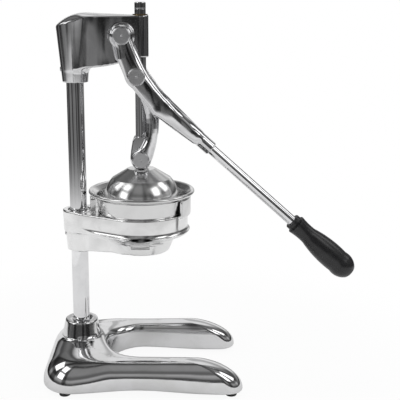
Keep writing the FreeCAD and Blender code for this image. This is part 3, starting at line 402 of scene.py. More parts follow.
def softMin(a, b, blend):
    near = np.maximum(blend - np.abs(a - b), 0) / blend
    return np.minimum(a, b) - near * near * blend / 4


def softMax(a, b, blend):
    return -softMin(-a, -b, blend)


def discBar(u, v, first, second):
    # Distance in a plane to two discs (place, place, radius) and the band between them.
    ux, uy = second[0] - first[0], second[1] - first[1]
    length = math.hypot(ux, uy)
    ux, uy = ux / length, uy / length
    side = np.abs((u - first[0]) * uy - (v - first[1]) * ux)
    ahead = (u - first[0]) * ux + (v - first[1]) * uy
    lean = (first[2] - second[2]) / length
    lift = np.sqrt(1 - lean * lean)
    mark = ahead * lift - side * lean
    bar = side * lift + ahead * lean - first[2]
    bar = np.where(mark < 0, np.hypot(side, ahead) - first[2], bar)
    return np.where(mark > length * lift, np.hypot(side, ahead - length) - second[2], bar)


def fromPin(x, z, spot):
    # Distance from the axis of a pin, which runs along Y.
    return np.hypot(x - spot.x, z - spot.z)


def fromColumn(x, y):
    return np.hypot(x - columnX, y)


def coneSide(x, y, z, centre, foot, top, footZ, topZ):
    slope = (top - foot) / (topZ - footZ)
    return (np.hypot(x - centre, y) - foot - slope * (z - footZ)) / math.hypot(1, slope)


def gradient(field, p, reach):
    steps = []
    for axis in range(3):
        shift = np.zeros(3)
        shift[axis] = reach
        steps.append((field(*(p + shift).T) - field(*(p - shift).T)) / (2 * reach))
    return np.stack(steps, axis=1)


def halves(axis):
    # All of the grid but its last layer, and all but its first, along one axis.
    lower, upper = [slice(None)] * 3, [slice(None)] * 3
    lower[axis], upper[axis] = slice(0, -1), slice(1, None)
    return tuple(lower), tuple(upper)


def fieldMesh(name, field, low, high, step):
    # One vertex in each cell that the surface crosses, pulled onto the surface.
    axes = [np.arange(low[i] - step, high[i] + 2 * step, step) for i in range(3)]
    values = field(*np.meshgrid(*axes, indexing="ij")).astype(np.float32)
    inside = values < 0
    size = [n - 1 for n in values.shape]
    total = np.zeros((*size, 3), np.float32)
    count = np.zeros(size, np.float32)
    for axis in range(3):
        others = [i for i in range(3) if i != axis]
        lower, upper = halves(axis)
        a, b = values[lower], values[upper]
        cross = inside[lower] != inside[upper]
        share = np.where(cross, a / np.where(cross, a - b, 1), 0)
        for first in (0, 1):
            for second in (0, 1):
                part = [slice(None)] * 3
                part[others[0]] = slice(first, first + size[others[0]])
                part[others[1]] = slice(second, second + size[others[1]])
                part = tuple(part)
                hit = cross[part]
                count += hit
                total[..., axis] += share[part] * hit
                total[..., others[0]] += first * hit
                total[..., others[1]] += second * hit
    cells = np.argwhere(count > 0)
    number = -np.ones(size, np.int64)
    places = tuple(cells.T)
    number[places] = np.arange(len(cells))
    local = total[places] / count[places][:, None]
    p = np.array([axis[0] for axis in axes]) + (cells + local) * step
    home = p.copy()
    farthest = mesher["farthest"] * step
    for _ in range(mesher["pulls"]):
        slope = gradient(field, p, mesher["slopeReach"])
        steepness = np.maximum((slope * slope).sum(1), mesher["least"])
        p = p - slope * (field(*p.T) / steepness)[:, None]
        p = home + np.clip(p - home, -farthest, farthest)
    normals = gradient(field, p, mesher["normalReach"])
    normals /= np.maximum(np.linalg.norm(normals, axis=1), mesher["least"])[:, None]
    faces = []
    for axis in range(3):
        a, b = [i for i in range(3) if i != axis]
        lower, upper = halves(axis)
        first, second = inside[lower], inside[upper]
        for crossing, flip in ((first & ~second, axis != 1), (~first & second, axis == 1)):
            spots = np.argwhere(crossing)
            u, v = spots[:, a], spots[:, b]
            spots = spots[(u > 0) & (v > 0) & (u < size[a]) & (v < size[b])]
            ring = []
            for da, db in ((1, 1), (0, 1), (0, 0), (1, 0)):
                cell = spots.copy()
                cell[:, a] -= da
                cell[:, b] -= db
                ring.append(number[tuple(cell.T)])
            quads = np.stack(ring, axis=1)
            faces.append(quads if flip else quads[:, ::-1])
    faces = np.concatenate(faces)
    return meshFrom(name, p, faces.tolist(), normals)


def addPiece(mesh, body, nodes, material):
    piece = bpy.data.objects.new(mesh.name, mesh)
    bpy.context.scene.collection.objects.link(piece)
    mesh.materials.clear()
    mesh.materials.append(material)
    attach(piece, body)
    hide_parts(*nodes)
    print(f"{mesh.name}: {len(mesh.polygons)} faces")


# Base: a horseshoe that rises from its widest level to a soft crest, with the column's socket.
base = {
    "rear": -111, "tip": 112, "halfWidth": 76, "floorGap": 4, "crown": 39, "widest": 16, "endWidest": 6,
    "hump": 9, "humpReach": 62, "humpRise": 20, "footRound": 3, "sideRound": 17.5, "rearRound": 39,
    "rearSlope": 14, "slopeStart": -30, "slopeLength": 50, "tipRound": 74, "legMiddle": -4,
    "waist": 3.5, "waistReach": 95, "arch": 3.5, "archReach": 80,
    "gap": 42, "gapCentre": 2, "corner": 37, "leastCorner": 4, "innerRound": 16,
    "pocketWall": 10, "pocketTop": 15, "socketTop": 64, "socketTopRadius": 18.4, "socketFootRadius": 24,
    "socketFoot": 38, "socketSink": 22, "mouth": 2.5, "bossRadius": 22.4, "wellRadius": 11.5,
    "wellTop": 16, "footBoss": 8.6, "flare": 4, "step": 1.3, "slopeReach": 0.25, "leastSlope": 0.2,
    "edges": {"crown": 4, "floor": 1.5, "socket": 1.6, "socketSink": 1, "pocket": 3, "boss": 2,
              "pocketRim": 1.5, "mouth": 1.2, "well": 1},
}


def horseshoe(x, y, outer, inner, rear, tip):
    corner = np.maximum(outer - base["halfWidth"] + base["corner"], base["leastCorner"])
    away = np.abs(y)
    qx, qy = rear + corner - x, away - outer + corner
    block = np.hypot(np.maximum(qx, 0), np.maximum(qy, 0)) + np.minimum(np.maximum(qx, qy), 0) - corner
    gap = np.hypot(np.minimum(x - base["gapCentre"], 0), y) - inner
    halfLeg = (outer - inner) / 2
    end = np.hypot(x - tip + halfLeg, away - (outer + inner) / 2) - halfLeg
    return np.where(x > tip - halfLeg, end, np.maximum(block, -gap))


def bulge(share, power):
    # Runs from nothing to one along a quarter of a superellipse.
    return 1 - (1 - np.clip(share, 0, 1) ** power) ** (1 / power)


def ease(share):
    # Runs from nothing to one with a soft start and end.
    share = np.clip(share, 0, 1)
    return share * share * (3 - 2 * share)


def baseOutline(x, y, z):
    # The sides lean out at both ends of a leg and stand upright in its middle.
    ends = ease(np.abs(x - base["legMiddle"]) / base["waistReach"])
    widest = base["widest"] + (base["endWidest"] - base["widest"]) * ends
    up = (z - widest) / (base["crown"] - widest)
    down = (widest - z) / (widest - base["floorGap"])
    tuck = base["footRound"] * bulge(down, 2)
    side = base["sideRound"] + base["rearSlope"] * ease((base["slopeStart"] - x) / base["slopeLength"])
    outer = base["halfWidth"] - base["waist"] * (1 - ends) - side * bulge(up, 2) - tuck
    inner = base["gap"] + base["innerRound"] * bulge(up * 2 - 1, 2.2)
    rear = base["rear"] + base["rearRound"] * bulge(up, 2.2) + tuck
    tip = base["tip"] - base["tipRound"] * bulge(up, 2) - tuck
    return horseshoe(x, y, outer, inner, rear, tip)


def baseShell(x, y, z):
    # The outline's value divided by its slope is nearly a distance, so that fillets come out round.
    value, reach = baseOutline(x, y, z), base["slopeReach"]
    slope = 0
    for dx, dy, dz in ((reach, 0, 0), (0, reach, 0), (0, 0, reach)):
        change = baseOutline(x + dx, y + dy, z + dz) - baseOutline(x - dx, y - dy, z - dz)
        slope = slope + (change / (2 * reach)) ** 2
    return value / np.sqrt(np.maximum(slope, base["leastSlope"]))


def baseField(x, y, z):
    s, edge = base, base["edges"]
    column = fromColumn(x, y)
    hump = s["hump"] * ease(1 - column / s["humpReach"])
    arch = s["arch"] * (1 - ease(np.abs(x - s["legMiddle"]) / s["archReach"]))
    raised = z - hump * ease((z - s["widest"]) / s["humpRise"])
    shell = softMax(baseShell(x, y, raised), z - s["crown"] - hump, edge["crown"])
    shell = softMax(shell, s["floorGap"] + arch - z, edge["floor"])
    socket = coneSide(x, y, z, columnX, s["socketFootRadius"], s["socketTopRadius"], s["socketFoot"],
                      s["socketTop"])
    socket = softMax(socket, z - s["socketTop"], edge["socket"])
    socket = softMax(socket, s["socketSink"] - z, edge["socketSink"])
    body = softMin(shell, socket, s["flare"])
    wall = s["pocketWall"]
    pocket = horseshoe(x, y, s["halfWidth"] - wall, s["gap"] + wall, s["rear"] + wall, s["tip"] - wall)
    pocket = softMax(pocket, z - s["pocketTop"], edge["pocket"])
    boss = column - s["bossRadius"]
    for foot in feet:
        spot = middle(foot)
        boss = np.minimum(boss, np.hypot(x - spot.x, y - spot.y) - s["footBoss"])
    body = softMax(body, -softMax(pocket, -boss, edge["boss"]), edge["pocketRim"])
    mouth = column - columnRadius - clearance - np.maximum(z - s["socketTop"] + s["mouth"], 0)
    well = np.maximum(column - s["wellRadius"], z - s["wellTop"])
    return softMax(softMax(body, -mouth, edge["mouth"]), -well, edge["well"])


# Head: a rear boss over the column, a web and a front sleeve round the ram.
head = {
    "crest": 409.1, "crestX": -58, "crestBend": 43, "crown": 32, "top": 407, "topX": -12, "foot": 336,
    "rearFoot": 13.4, "rearTop": 20, "sleeve": 8.8, "sleeveFoot": 363.5, "webFoot": 352, "webRise": 11,
    "webStart": -55, "webLength": 46, "webPower": 1.6, "inset": 0.8, "pad": 11.8, "padReach": 17.7,
    "ramBore": 7.4, "columnGap": 0.1, "step": 0.95,
    "edges": {"boss": 1.2, "top": 1.4, "rearFoot": 7, "sleeveFoot": 3, "pad": 1.5, "padRoot": 2.5,
              "bore": 1, "ramBore": 0.8, "pinBore": 0.6},
}


def headField(x, y, z):
    s, edge = head, head["edges"]
    rear = s["rearFoot"] + (s["rearTop"] - s["rearFoot"]) * (z - s["foot"]) / (s["crest"] - s["foot"])
    length = -columnX
    share = np.clip(-x / length, 0, 1)
    lean = (rear - s["sleeve"]) / length
    # the web's sides lean less than the boss, so that the boss stands out of them
    wide = (rear + (s["rearFoot"] + s["rearTop"]) / 2) / 2
    flank = (np.abs(y) - s["sleeve"] - (wide - s["sleeve"]) * share) / np.sqrt(1 + lean * lean)
    nose = np.hypot(x, y) - s["sleeve"]
    column = fromColumn(x, y)
    tail = column - rear
    plan = softMin(np.maximum(np.where(x > 0, nose, flank), columnX - x), tail, edge["boss"])
    rise = np.clip((x - s["topX"]) / (s["crestX"] - s["topX"]), 0, 1)
    line = s["top"] + (s["crest"] - s["top"]) * rise
    run = np.minimum(x - s["crestX"], 0)
    bend = s["crestBend"]
    crest = np.where(run < 0, s["crest"] - bend + np.sqrt(np.maximum(bend * bend - run * run, 1)), line)
    across = s["crown"] - np.sqrt(np.maximum(s["crown"] ** 2 - y * y, 1))
    above = (z - crest + across) / np.sqrt(1 + (run / bend) ** 2)
    web = s["webFoot"] + s["webRise"] * bulge((x - s["webStart"]) / s["webLength"], s["webPower"])
    mass = softMax(plan, above, edge["top"])
    # the underside follows the web, then drops along the boss and the sleeve
    under = softMin(web - z, np.maximum(tail - s["inset"], s["foot"] - z), edge["rearFoot"])
    under = softMin(under, np.maximum(nose - s["inset"], s["sleeveFoot"] - z), edge["sleeveFoot"])
    upperPin = fromPin(x, z, pivot)
    pads = softMax(upperPin - s["pad"], np.abs(y) - s["padReach"], edge["pad"])
    body = softMin(softMax(mass, under, edge["top"]), pads, edge["padRoot"])
    bore = np.maximum(column - columnRadius - clearance, z - highest("column").z - s["columnGap"])
    ramBore = np.hypot(x, y) - s["ramBore"]
    body = softMax(softMax(body, -bore, edge["bore"]), -ramBore, edge["ramBore"])
    return softMax(body, pinRadius + clearance - upperPin, edge["pinBore"])


# Lever: two arms that start as cranks at the upper pin, meet at the neck and carry the handle socket.
lever = {
    "eye": 11.6, "shoulder": 9.5, "elbow": 11.2, "arm": 11.4, "neck": 8.4, "bow": (4.2, 22, 9.6),
    "armReach": 41, "armDrop": 74.6, "neckReach": 79.6, "neckDrop": 108.4, "neckHalf": 8.6,
    "outer": 26, "inner": 18, "taperStart": 20, "taperBend": 26, "neckBend": 6, "camber": 1.2,
    "throatStart": 24, "throatBend": 6, "throatSlope": 13 / 23, "throatEnd": 52, "handleAngle": 41.7,
    "socket": 7.8, "socketLength": 22, "socketOverlap": 3, "rodBore": 5.85, "boreStart": 2,
    "edge": 4.0, "crown": 8.5, "crownReach": 14, "step": 1.0,
    "edges": {"bow": 3, "arm": 2.4, "eye": 1.5, "throat": 7, "throatRim": 2.4, "socket": 1.4,
              "socketRoot": 1.6, "bore": 0.6},
}
armSpot = Vector((pivot.x + lever["armReach"], 0, pivot.z - lever["armDrop"]))
neckSpot = Vector((pivot.x + lever["neckReach"], 0, pivot.z - lever["neckDrop"]))
handleAngle = math.radians(lever["handleAngle"])
handleWay = Vector((math.cos(handleAngle), 0, -math.sin(handleAngle)))


def disc(spot, radius):
    return spot[0], spot[2], radius


def leverField(x, y, z):
    s, edge = lever, lever["edges"]
    upperPin, middlePin = fromPin(x, z, pivot), fromPin(x, z, elbow)
    shoulder, knee, arm = disc(pivot, s["shoulder"]), disc(elbow, s["elbow"]), disc(armSpot, s["arm"])
    bow = (pivot.x + s["bow"][0], pivot.z - s["bow"][1], s["bow"][2])
    bowed = np.minimum(discBar(x, z, bow, shoulder), discBar(x, z, knee, bow))
    crank = softMin(discBar(x, z, knee, shoulder), bowed, edge["bow"])
    upper = discBar(x, z, arm, knee)
    lower = discBar(x, z, arm, disc(neckSpot, s["neck"]))
    side = softMin(softMin(crank, upper, edge["arm"]), lower, edge["arm"])
    side = softMin(side, upperPin - s["eye"], edge["eye"])
    taper = (s["outer"] - s["neckHalf"]) / (neckSpot.x - s["taperStart"])
    width = s["outer"] - taper * softMax(x - s["taperStart"], 0, s["taperBend"])
    width = softMax(width, s["neckHalf"], s["neckBend"])
    width = width - s["camber"] * np.clip(1 + side / s["arm"], 0, 1) ** 2
    flank = (np.abs(y) - width) / math.hypot(1, taper)
    # the edges are rounder on the side that faces away from the ram
    slant = (x - elbow.x) * (elbow.z - neckSpot.z) + (z - elbow.z) * (neckSpot.x - elbow.x)
    slant = slant / math.hypot(neckSpot.x - elbow.x, elbow.z - neckSpot.z)
    crown = (s["crown"] - s["edge"]) * np.clip(0.5 + slant / s["crownReach"], 0, 1)
    body = softMax(side, flank, s["edge"] + crown)
    inner = s["inner"] - s["throatSlope"] * softMax(x - s["throatStart"], 0, s["throatBend"])
    throat = (np.abs(y) - inner) / math.hypot(1, s["throatSlope"])
    throat = softMax(throat, x - s["throatEnd"], edge["throat"])
    body = softMax(body, -throat, edge["throatRim"])
    run = (x - neckSpot.x) * handleWay.x + (z - neckSpot.z) * handleWay.z
    off = np.hypot((x - neckSpot.x) * handleWay.z - (z - neckSpot.z) * handleWay.x, y)
    ends = np.maximum(run - s["socketLength"], -s["socketOverlap"] - run)
    body = softMin(body, softMax(off - s["socket"], ends, edge["socket"]), edge["socketRoot"])
    body = softMax(body, -np.maximum(off - s["rodBore"], s["boreStart"] - run), edge["bore"])
    return softMax(body, pinRadius + clearance - np.minimum(upperPin, middlePin), edge["bore"])


# Link: two rounded arms joined by a bridge on the bowed side.
link = {
    # the two points above the lower pivot that guide the bow's curve
    "bow": ((17, 18), (18.4, 58)),
    # half widths along the curve, each after its share of the length
    "girth": ((0, 11.6), (0.16, 8.4), (0.32, 6.8), (0.6, 7.0), (0.84, 8.2), (1, 10.4)),
    "parts": 18, "inner": 10.5, "outer": 17.5, "bridgeFoot": 27, "bridgeTop": 62, "bridgeEdge": 8,
    "bushOuter": 7.7, "step": 0.8, "edges": {"outer": 9.0, "room": 2, "roomRim": 1.6, "bore": 0.6},
}


def linkField(x, y, z):
    s, edge = link, link["edges"]
    guides = [(lowPivot.x, lowPivot.z)]
    guides += [(lowPivot.x + right, lowPivot.z + up) for right, up in s["bow"]]
    guides += [(elbow.x, elbow.z)]
    marks, widths = zip(*s["girth"])
    path = []
    for t in np.linspace(0, 1, s["parts"] + 1):
        pull = ((1 - t) ** 3, 3 * t * (1 - t) ** 2, 3 * t * t * (1 - t), t ** 3)
        spot = [sum(share * guide[i] for share, guide in zip(pull, guides)) for i in (0, 1)]
        path.append((*spot, np.interp(t, marks, widths)))
    side = discBar(x, z, path[0], path[1])
    for first, second in zip(path[1:], path[2:]):
        side = np.minimum(side, discBar(x, z, first, second))
    body = softMax(side, np.abs(y) - s["outer"], edge["outer"])
    room = np.abs(y) - s["inner"]
    side = softMax(room, x - s["bridgeEdge"], edge["room"])
    foot = softMax(room, z - lowPivot.z - s["bridgeFoot"], edge["room"])
    top = softMax(room, lowPivot.z + s["bridgeTop"] - z, edge["room"])
    body = softMax(body, -np.minimum(np.minimum(side, foot), top), edge["roomRim"])
    pinBore = fromPin(x, z, lowPivot) - (lowPinRadius + clearance)
    bushBore = fromPin(x, z, elbow) - s["bushOuter"]
    return softMax(body, -np.minimum(pinBore, bushBore), edge["bore"])


# Bowl carrier: a band round the bowl, its clamp on the column, a stepped collar and two lips.
carrier = {
    "band": 51.6, "boss": 16.5, "bossFoot": 13.6, "top": 194, "foot": 148.5, "bandFoot": 171,
    "bore": 48.6, "stepFoot": 163.5, "step": 37, "stepInset": 1.5, "collarFoot": 31, "collarBore": 27,
    "lipTop": 211, "lipBore": 52.1, "lip": 54.9, "lipAngle": 36, "nearLip": 57.8, "nearLipAngle": 14,
    "lipFoot": 191, "ribBoss": 11, "ribRing": 24, "stepOverlap": 2, "collarOverlap": 3, "floor": 1,
    "seatRise": 3, "window": (-11, 9, 157.5, 163), "recess": 12, "recessDepth": 2.2, "grid": 0.9,
    "edges": {"band": 1.6, "step": 1.4, "stepRoot": 5, "ribRoot": 6, "collarRoot": 4, "postRoot": 4,
              "lipCorner": 3, "lip": 0.8, "lipRoot": 2, "seat": 1, "window": 1.2, "recess": 0.8},
}


def between(z, foot, top):
    # Negative from the foot to the top.
    return np.maximum(z - top, foot - z)


def carrierField(x, y, z):
    s, edge = carrier, carrier["edges"]
    ring, column = np.hypot(x, y), fromColumn(x, y)
    plan = discBar(x, y, (0, 0, s["band"]), (columnX, 0, s["boss"]))
    band = softMax(plan, between(z, s["bandFoot"], s["top"]), edge["band"])
    post = coneSide(x, y, z, columnX, s["bossFoot"], s["boss"], s["foot"], s["top"])
    post = softMax(post, between(z, s["foot"], s["top"]), edge["band"])
    stepTop = s["bandFoot"] + s["stepOverlap"]
    stepCone = coneSide(x, y, z, 0, s["step"], s["band"] - s["stepInset"], s["stepFoot"], s["bandFoot"])
    stepCone = softMax(stepCone, between(z, s["stepFoot"], stepTop), edge["step"])
    collar = coneSide(x, y, z, 0, s["collarFoot"], s["step"], s["foot"], s["stepFoot"])
    collar = softMax(collar, between(z, s["foot"], s["stepFoot"] + s["collarOverlap"]), edge["step"])
    share = np.clip(1 - x / columnX, 0, 1)
    rib = np.abs(y) - s["ribBoss"] - (s["ribRing"] - s["ribBoss"]) * share
    ribEnds = np.maximum(np.maximum(x, columnX - x), between(z, s["foot"], stepTop))
    rib = softMax(rib, ribEnds, edge["step"])
    body = softMin(band, stepCone, edge["stepRoot"])
    body = softMin(body, softMin(collar, rib, edge["ribRoot"]), edge["collarRoot"])
    body = softMin(body, post, edge["postRoot"])
    for way, outer, angle in ((1, s["lip"], s["lipAngle"]), (-1, s["nearLip"], s["nearLipAngle"])):
        half = math.radians(angle)
        side = np.abs(y) * math.cos(half) - way * x * math.sin(half)
        side = softMax(side, between(z, s["lipFoot"], s["lipTop"]), edge["lipCorner"])
        lip = softMax(np.maximum(ring - outer, s["bore"] - ring), side, edge["lip"])
        body = softMin(body, lip, edge["lipRoot"])
    floor = s["stepFoot"] + s["floor"]
    seat = coneSide(x, y, z, 0, s["collarBore"], s["bore"], floor, s["bandFoot"] + s["seatRise"])
    seat = softMax(softMax(seat, ring - s["bore"], edge["seat"]), floor - z, edge["seat"])
    hollow = np.minimum(seat, ring - s["collarBore"])
    hollow = np.minimum(hollow, np.maximum(ring - s["lipBore"], s["top"] - z))
    body = softMax(body, -hollow, edge["seat"])
    left, right, foot, top = s["window"]
    window = np.maximum(np.maximum(between(x, left, right), between(z, foot, top)), y)
    recess = np.maximum(column - s["recess"], s["top"] - s["recessDepth"] - z)
    body = softMax(softMax(body, -window, edge["window"]), -recess, edge["recess"])
    return softMax(body, columnRadius + clearance - column, edge["recess"])


# Crosshead: the block on the ram's foot that takes the low pin and the dome.
block = {
    "half": 12, "topHalf": 9.4, "top": 277, "shoulder": 6, "footHalf": 6, "foot": 241.4, "side": 3,
    "reach": 10.2, "step": 0.7,
    "edges": {"slopes": 3, "side": 2, "ends": 4, "face": 1.4, "bore": 0.6},
}


def blockField(x, y, z):
    s, edge = block, block["edges"]
    away = np.abs(x)
    lowSlope = (s["half"] - s["footHalf"]) / (lowPivot.z - s["side"] - s["foot"])
    low = (away - s["footHalf"] - lowSlope * (z - s["foot"])) / math.hypot(1, lowSlope)
    highSlope = (s["half"] - s["topHalf"]) / (s["top"] - s["shoulder"] - lowPivot.z - s["side"])
    high = (away - s["half"] + highSlope * (z - lowPivot.z - s["side"])) / math.hypot(1, highSlope)
    side = softMax(softMax(low, high, edge["slopes"]), away - s["half"], edge["side"])
    body = softMax(side, between(z, s["foot"], s["top"]), edge["ends"])
    body = softMax(body, np.abs(y) - s["reach"], edge["face"])
    return softMax(body, lowPinRadius + clearance - fromPin(x, z, lowPivot), edge["bore"])


def makeCasting(name, node, body, field, step, material):
    mesh = fieldMesh(name, field, lowest(node), highest(node), step)
    addPiece(mesh, body, [node], material)


castings = (
    ("base_casting", "base", "frame", baseField, base["step"], polished),
    ("head_casting", "head", "frame", headField, head["step"], handWorked),
    ("lever_casting", "lever", "hand_lever", leverField, lever["step"], handWorked),
    ("link_casting", "link", "link_group", linkField, link["step"], handWorked),
    ("carrier_casting", "bowl_carrier", "frame", carrierField, carrier["grid"], brightCasting),
    ("crosshead_block", "crosshead", "ram_group", blockField, block["step"], handWorked),
)
for casting in castings:
    makeCasting(*casting)
print("castings made")


# Column and ram
def makeColumn():
    low, high = lowest("column").z, highest("column").z
    r = columnRadius
    corners = [(0, low, 0), (r, low, 0.6), (r, high, 1.0), (0, high, 0)]
    mesh = turnedMesh("column_bar", corners, along((columnX, 0, 0), (0, 0, 1)), segments=128)
    addPiece(mesh, "frame", ["column"], chromed)


ram = {"radius": 6, "stud": 4, "groove": 0.5, "width": 1.4, "chamfer": 1.2}


def makeRam():
    s = ram
    low, high = lowest("ram").z, highest("ram").z
    r, inner = s["radius"], s["radius"] - s["groove"]
    shoulder = highest("crosshead").z
    ring = middle("ram_ring").z
    foot, top = ring - s["width"] / 2, ring + s["width"] / 2
    corners = [(0, low, 0), (s["stud"], low, 0.4), (s["stud"], shoulder, 0.2), (r, shoulder, 0.3),
               (r, foot, 0.15), (inner, foot, 0.1), (inner, top, 0.1), (r, top, 0.15),
               (r, high, s["chamfer"]), (0, high, 0)]
    mesh = turnedMesh("ram_bar", corners)
    addPiece(mesh, "ram_group", ["ram"], chromed)


# Pressing dome and bowl
dome = {
    "seat": 15, "crease": (32.6, 230.6), "shoulder": (41.6, 211), "foot": 43.4, "curve": 34, "wall": 3.2,
    "creaseWall": 0.6, "bore": 4.1,
}


def makeDome():
    s = dome
    foot, top = lowest("pressing_dome").z, highest("pressing_dome").z
    inside = top - s["wall"]
    shoulderIn = (s["shoulder"][0] - s["wall"], s["shoulder"][1])
    creaseIn = (s["crease"][0] - s["wall"] * s["creaseWall"], s["crease"][1] - s["wall"])
    corners = [(s["bore"], top, 0.2), (s["bore"], inside, 0.2), (s["seat"] - 1, inside, 2)]
    corners += [(*creaseIn, 1.5), *arcPoints(creaseIn, shoulderIn, -(s["curve"] - s["wall"]), 8)]
    corners += [(*shoulderIn, 0), (s["foot"] - s["wall"], foot, 0.5), (s["foot"], foot, 0.8)]
    corners += [(*s["shoulder"], 0)]
    corners += arcPoints(s["shoulder"], s["crease"], s["curve"], 10)
    corners += [(*s["crease"], 1.2), (s["seat"], top, 1.5)]
    mesh = turnedMesh("pressing_dome_shell", corners, closed=True, segments=160)
    addPiece(mesh, "ram_group", ["pressing_dome"], spun)


bowl = {
    "outlet": 15, "wall": 1.3, "outletRim": 163, "sump": (26, 167.5), "fall": 2, "foot": (43.6, 182),
    "corner": 12, "cornerBend": 16, "neck": (51.2, 211.3), "wallFoot": (48.1, 192), "ledge": 3, "roll": 2.1,
    "rollBend": 1.0001,  # the rolled edge's bend, as a share of half its height
}


def makeBowl():
    s = bowl
    low, rim = lowest("bowl").z, highest("bowl").x
    rimZ = highest("bowl").z - s["roll"]
    wall, roll, bend, outlet = s["wall"], s["roll"], s["cornerBend"], s["outlet"]
    neckX, neckZ = s["neck"]
    flat = (s["foot"][0] - s["corner"], s["sump"][1] + s["fall"])
    flatIn = (flat[0], flat[1] + wall)
    footIn = (s["foot"][0] - wall, s["foot"][1])
    rollFoot, rollTop = (rim - roll, rimZ - roll), (rim - roll, rimZ + roll)
    corners = [(outlet - wall, low, 0.4), (outlet, low, 0.4), (outlet, s["outletRim"], 3)]
    corners += [(*s["sump"], 3), (*flat, 0), *arcPoints(flat, s["foot"], bend, 8)]
    corners += [(*s["foot"], 4), (*s["wallFoot"], 5), (neckX, neckZ, 1.2), (neckX + s["ledge"], neckZ, 1.5)]
    corners += [(*rollFoot, 0), *arcPoints(rollFoot, rollTop, roll * s["rollBend"], 12), (*rollTop, 0)]
    corners += [(rim - 2 * roll, rimZ + roll / 3, 1.2), (neckX - wall, neckZ + wall, 2)]
    corners += [(s["wallFoot"][0] - wall, s["wallFoot"][1], 5), (*footIn, 4)]
    corners += [*arcPoints(footIn, flatIn, -(bend - wall), 8), (*flatIn, 0)]
    corners += [(s["sump"][0], s["sump"][1] + wall, 2), (outlet - wall, s["outletRim"] + wall, 2)]
    mesh = turnedMesh("bowl_shell", corners, closed=True, segments=192)
    addPiece(mesh, "frame", ["bowl"], spun)


# Strainer: a turned plate and reamer; a node tree adds the flutes and drills the ring of holes.
strainer = {
    "foot": 187.5, "wall": 1.2, "lip": 5, "lean": 1.75, "reamer": 30, "tip": 8, "tipDrop": 5, "top": 226,
    "holes": 24, "holeRadius": 1.6, "holeCircle": 36, "flutes": 10, "fluteWidth": 2, "fluteSink": 1,
    "fluteHeight": 2.4, "fluteTip": 1.44, "drillSides": 24, "crispAngle": 0.5,
}


def makeRing(tree, shape, count):
    # Equal copies of a shape round the Z axis.
    points = addNode(tree, "GeometryNodePoints")
    tree.links.new(count, points.inputs["Count"])
    index = addNode(tree, "GeometryNodeInputIndex")
    turn = math2(tree, "MULTIPLY", index.outputs[0], math2(tree, "DIVIDE", math.tau, count))
    spin = addNode(tree, "ShaderNodeCombineXYZ")
    tree.links.new(turn, spin.inputs["Z"])
    place = addNode(tree, "GeometryNodeInstanceOnPoints")
    tree.links.new(points.outputs[0], place.inputs["Points"])
    tree.links.new(shape, place.inputs["Instance"])
    tree.links.new(spin.outputs[0], place.inputs["Rotation"])
    real = addNode(tree, "GeometryNodeRealizeInstances")
    tree.links.new(place.outputs[0], real.inputs[0])
    return real.outputs[0]


def addRange(tree, value, start, end):
    # Runs from start to end while the value runs from nothing to one.
    step = math2(tree, "MULTIPLY", value, math2(tree, "SUBTRACT", end, start))
    return math2(tree, "ADD", start, step)


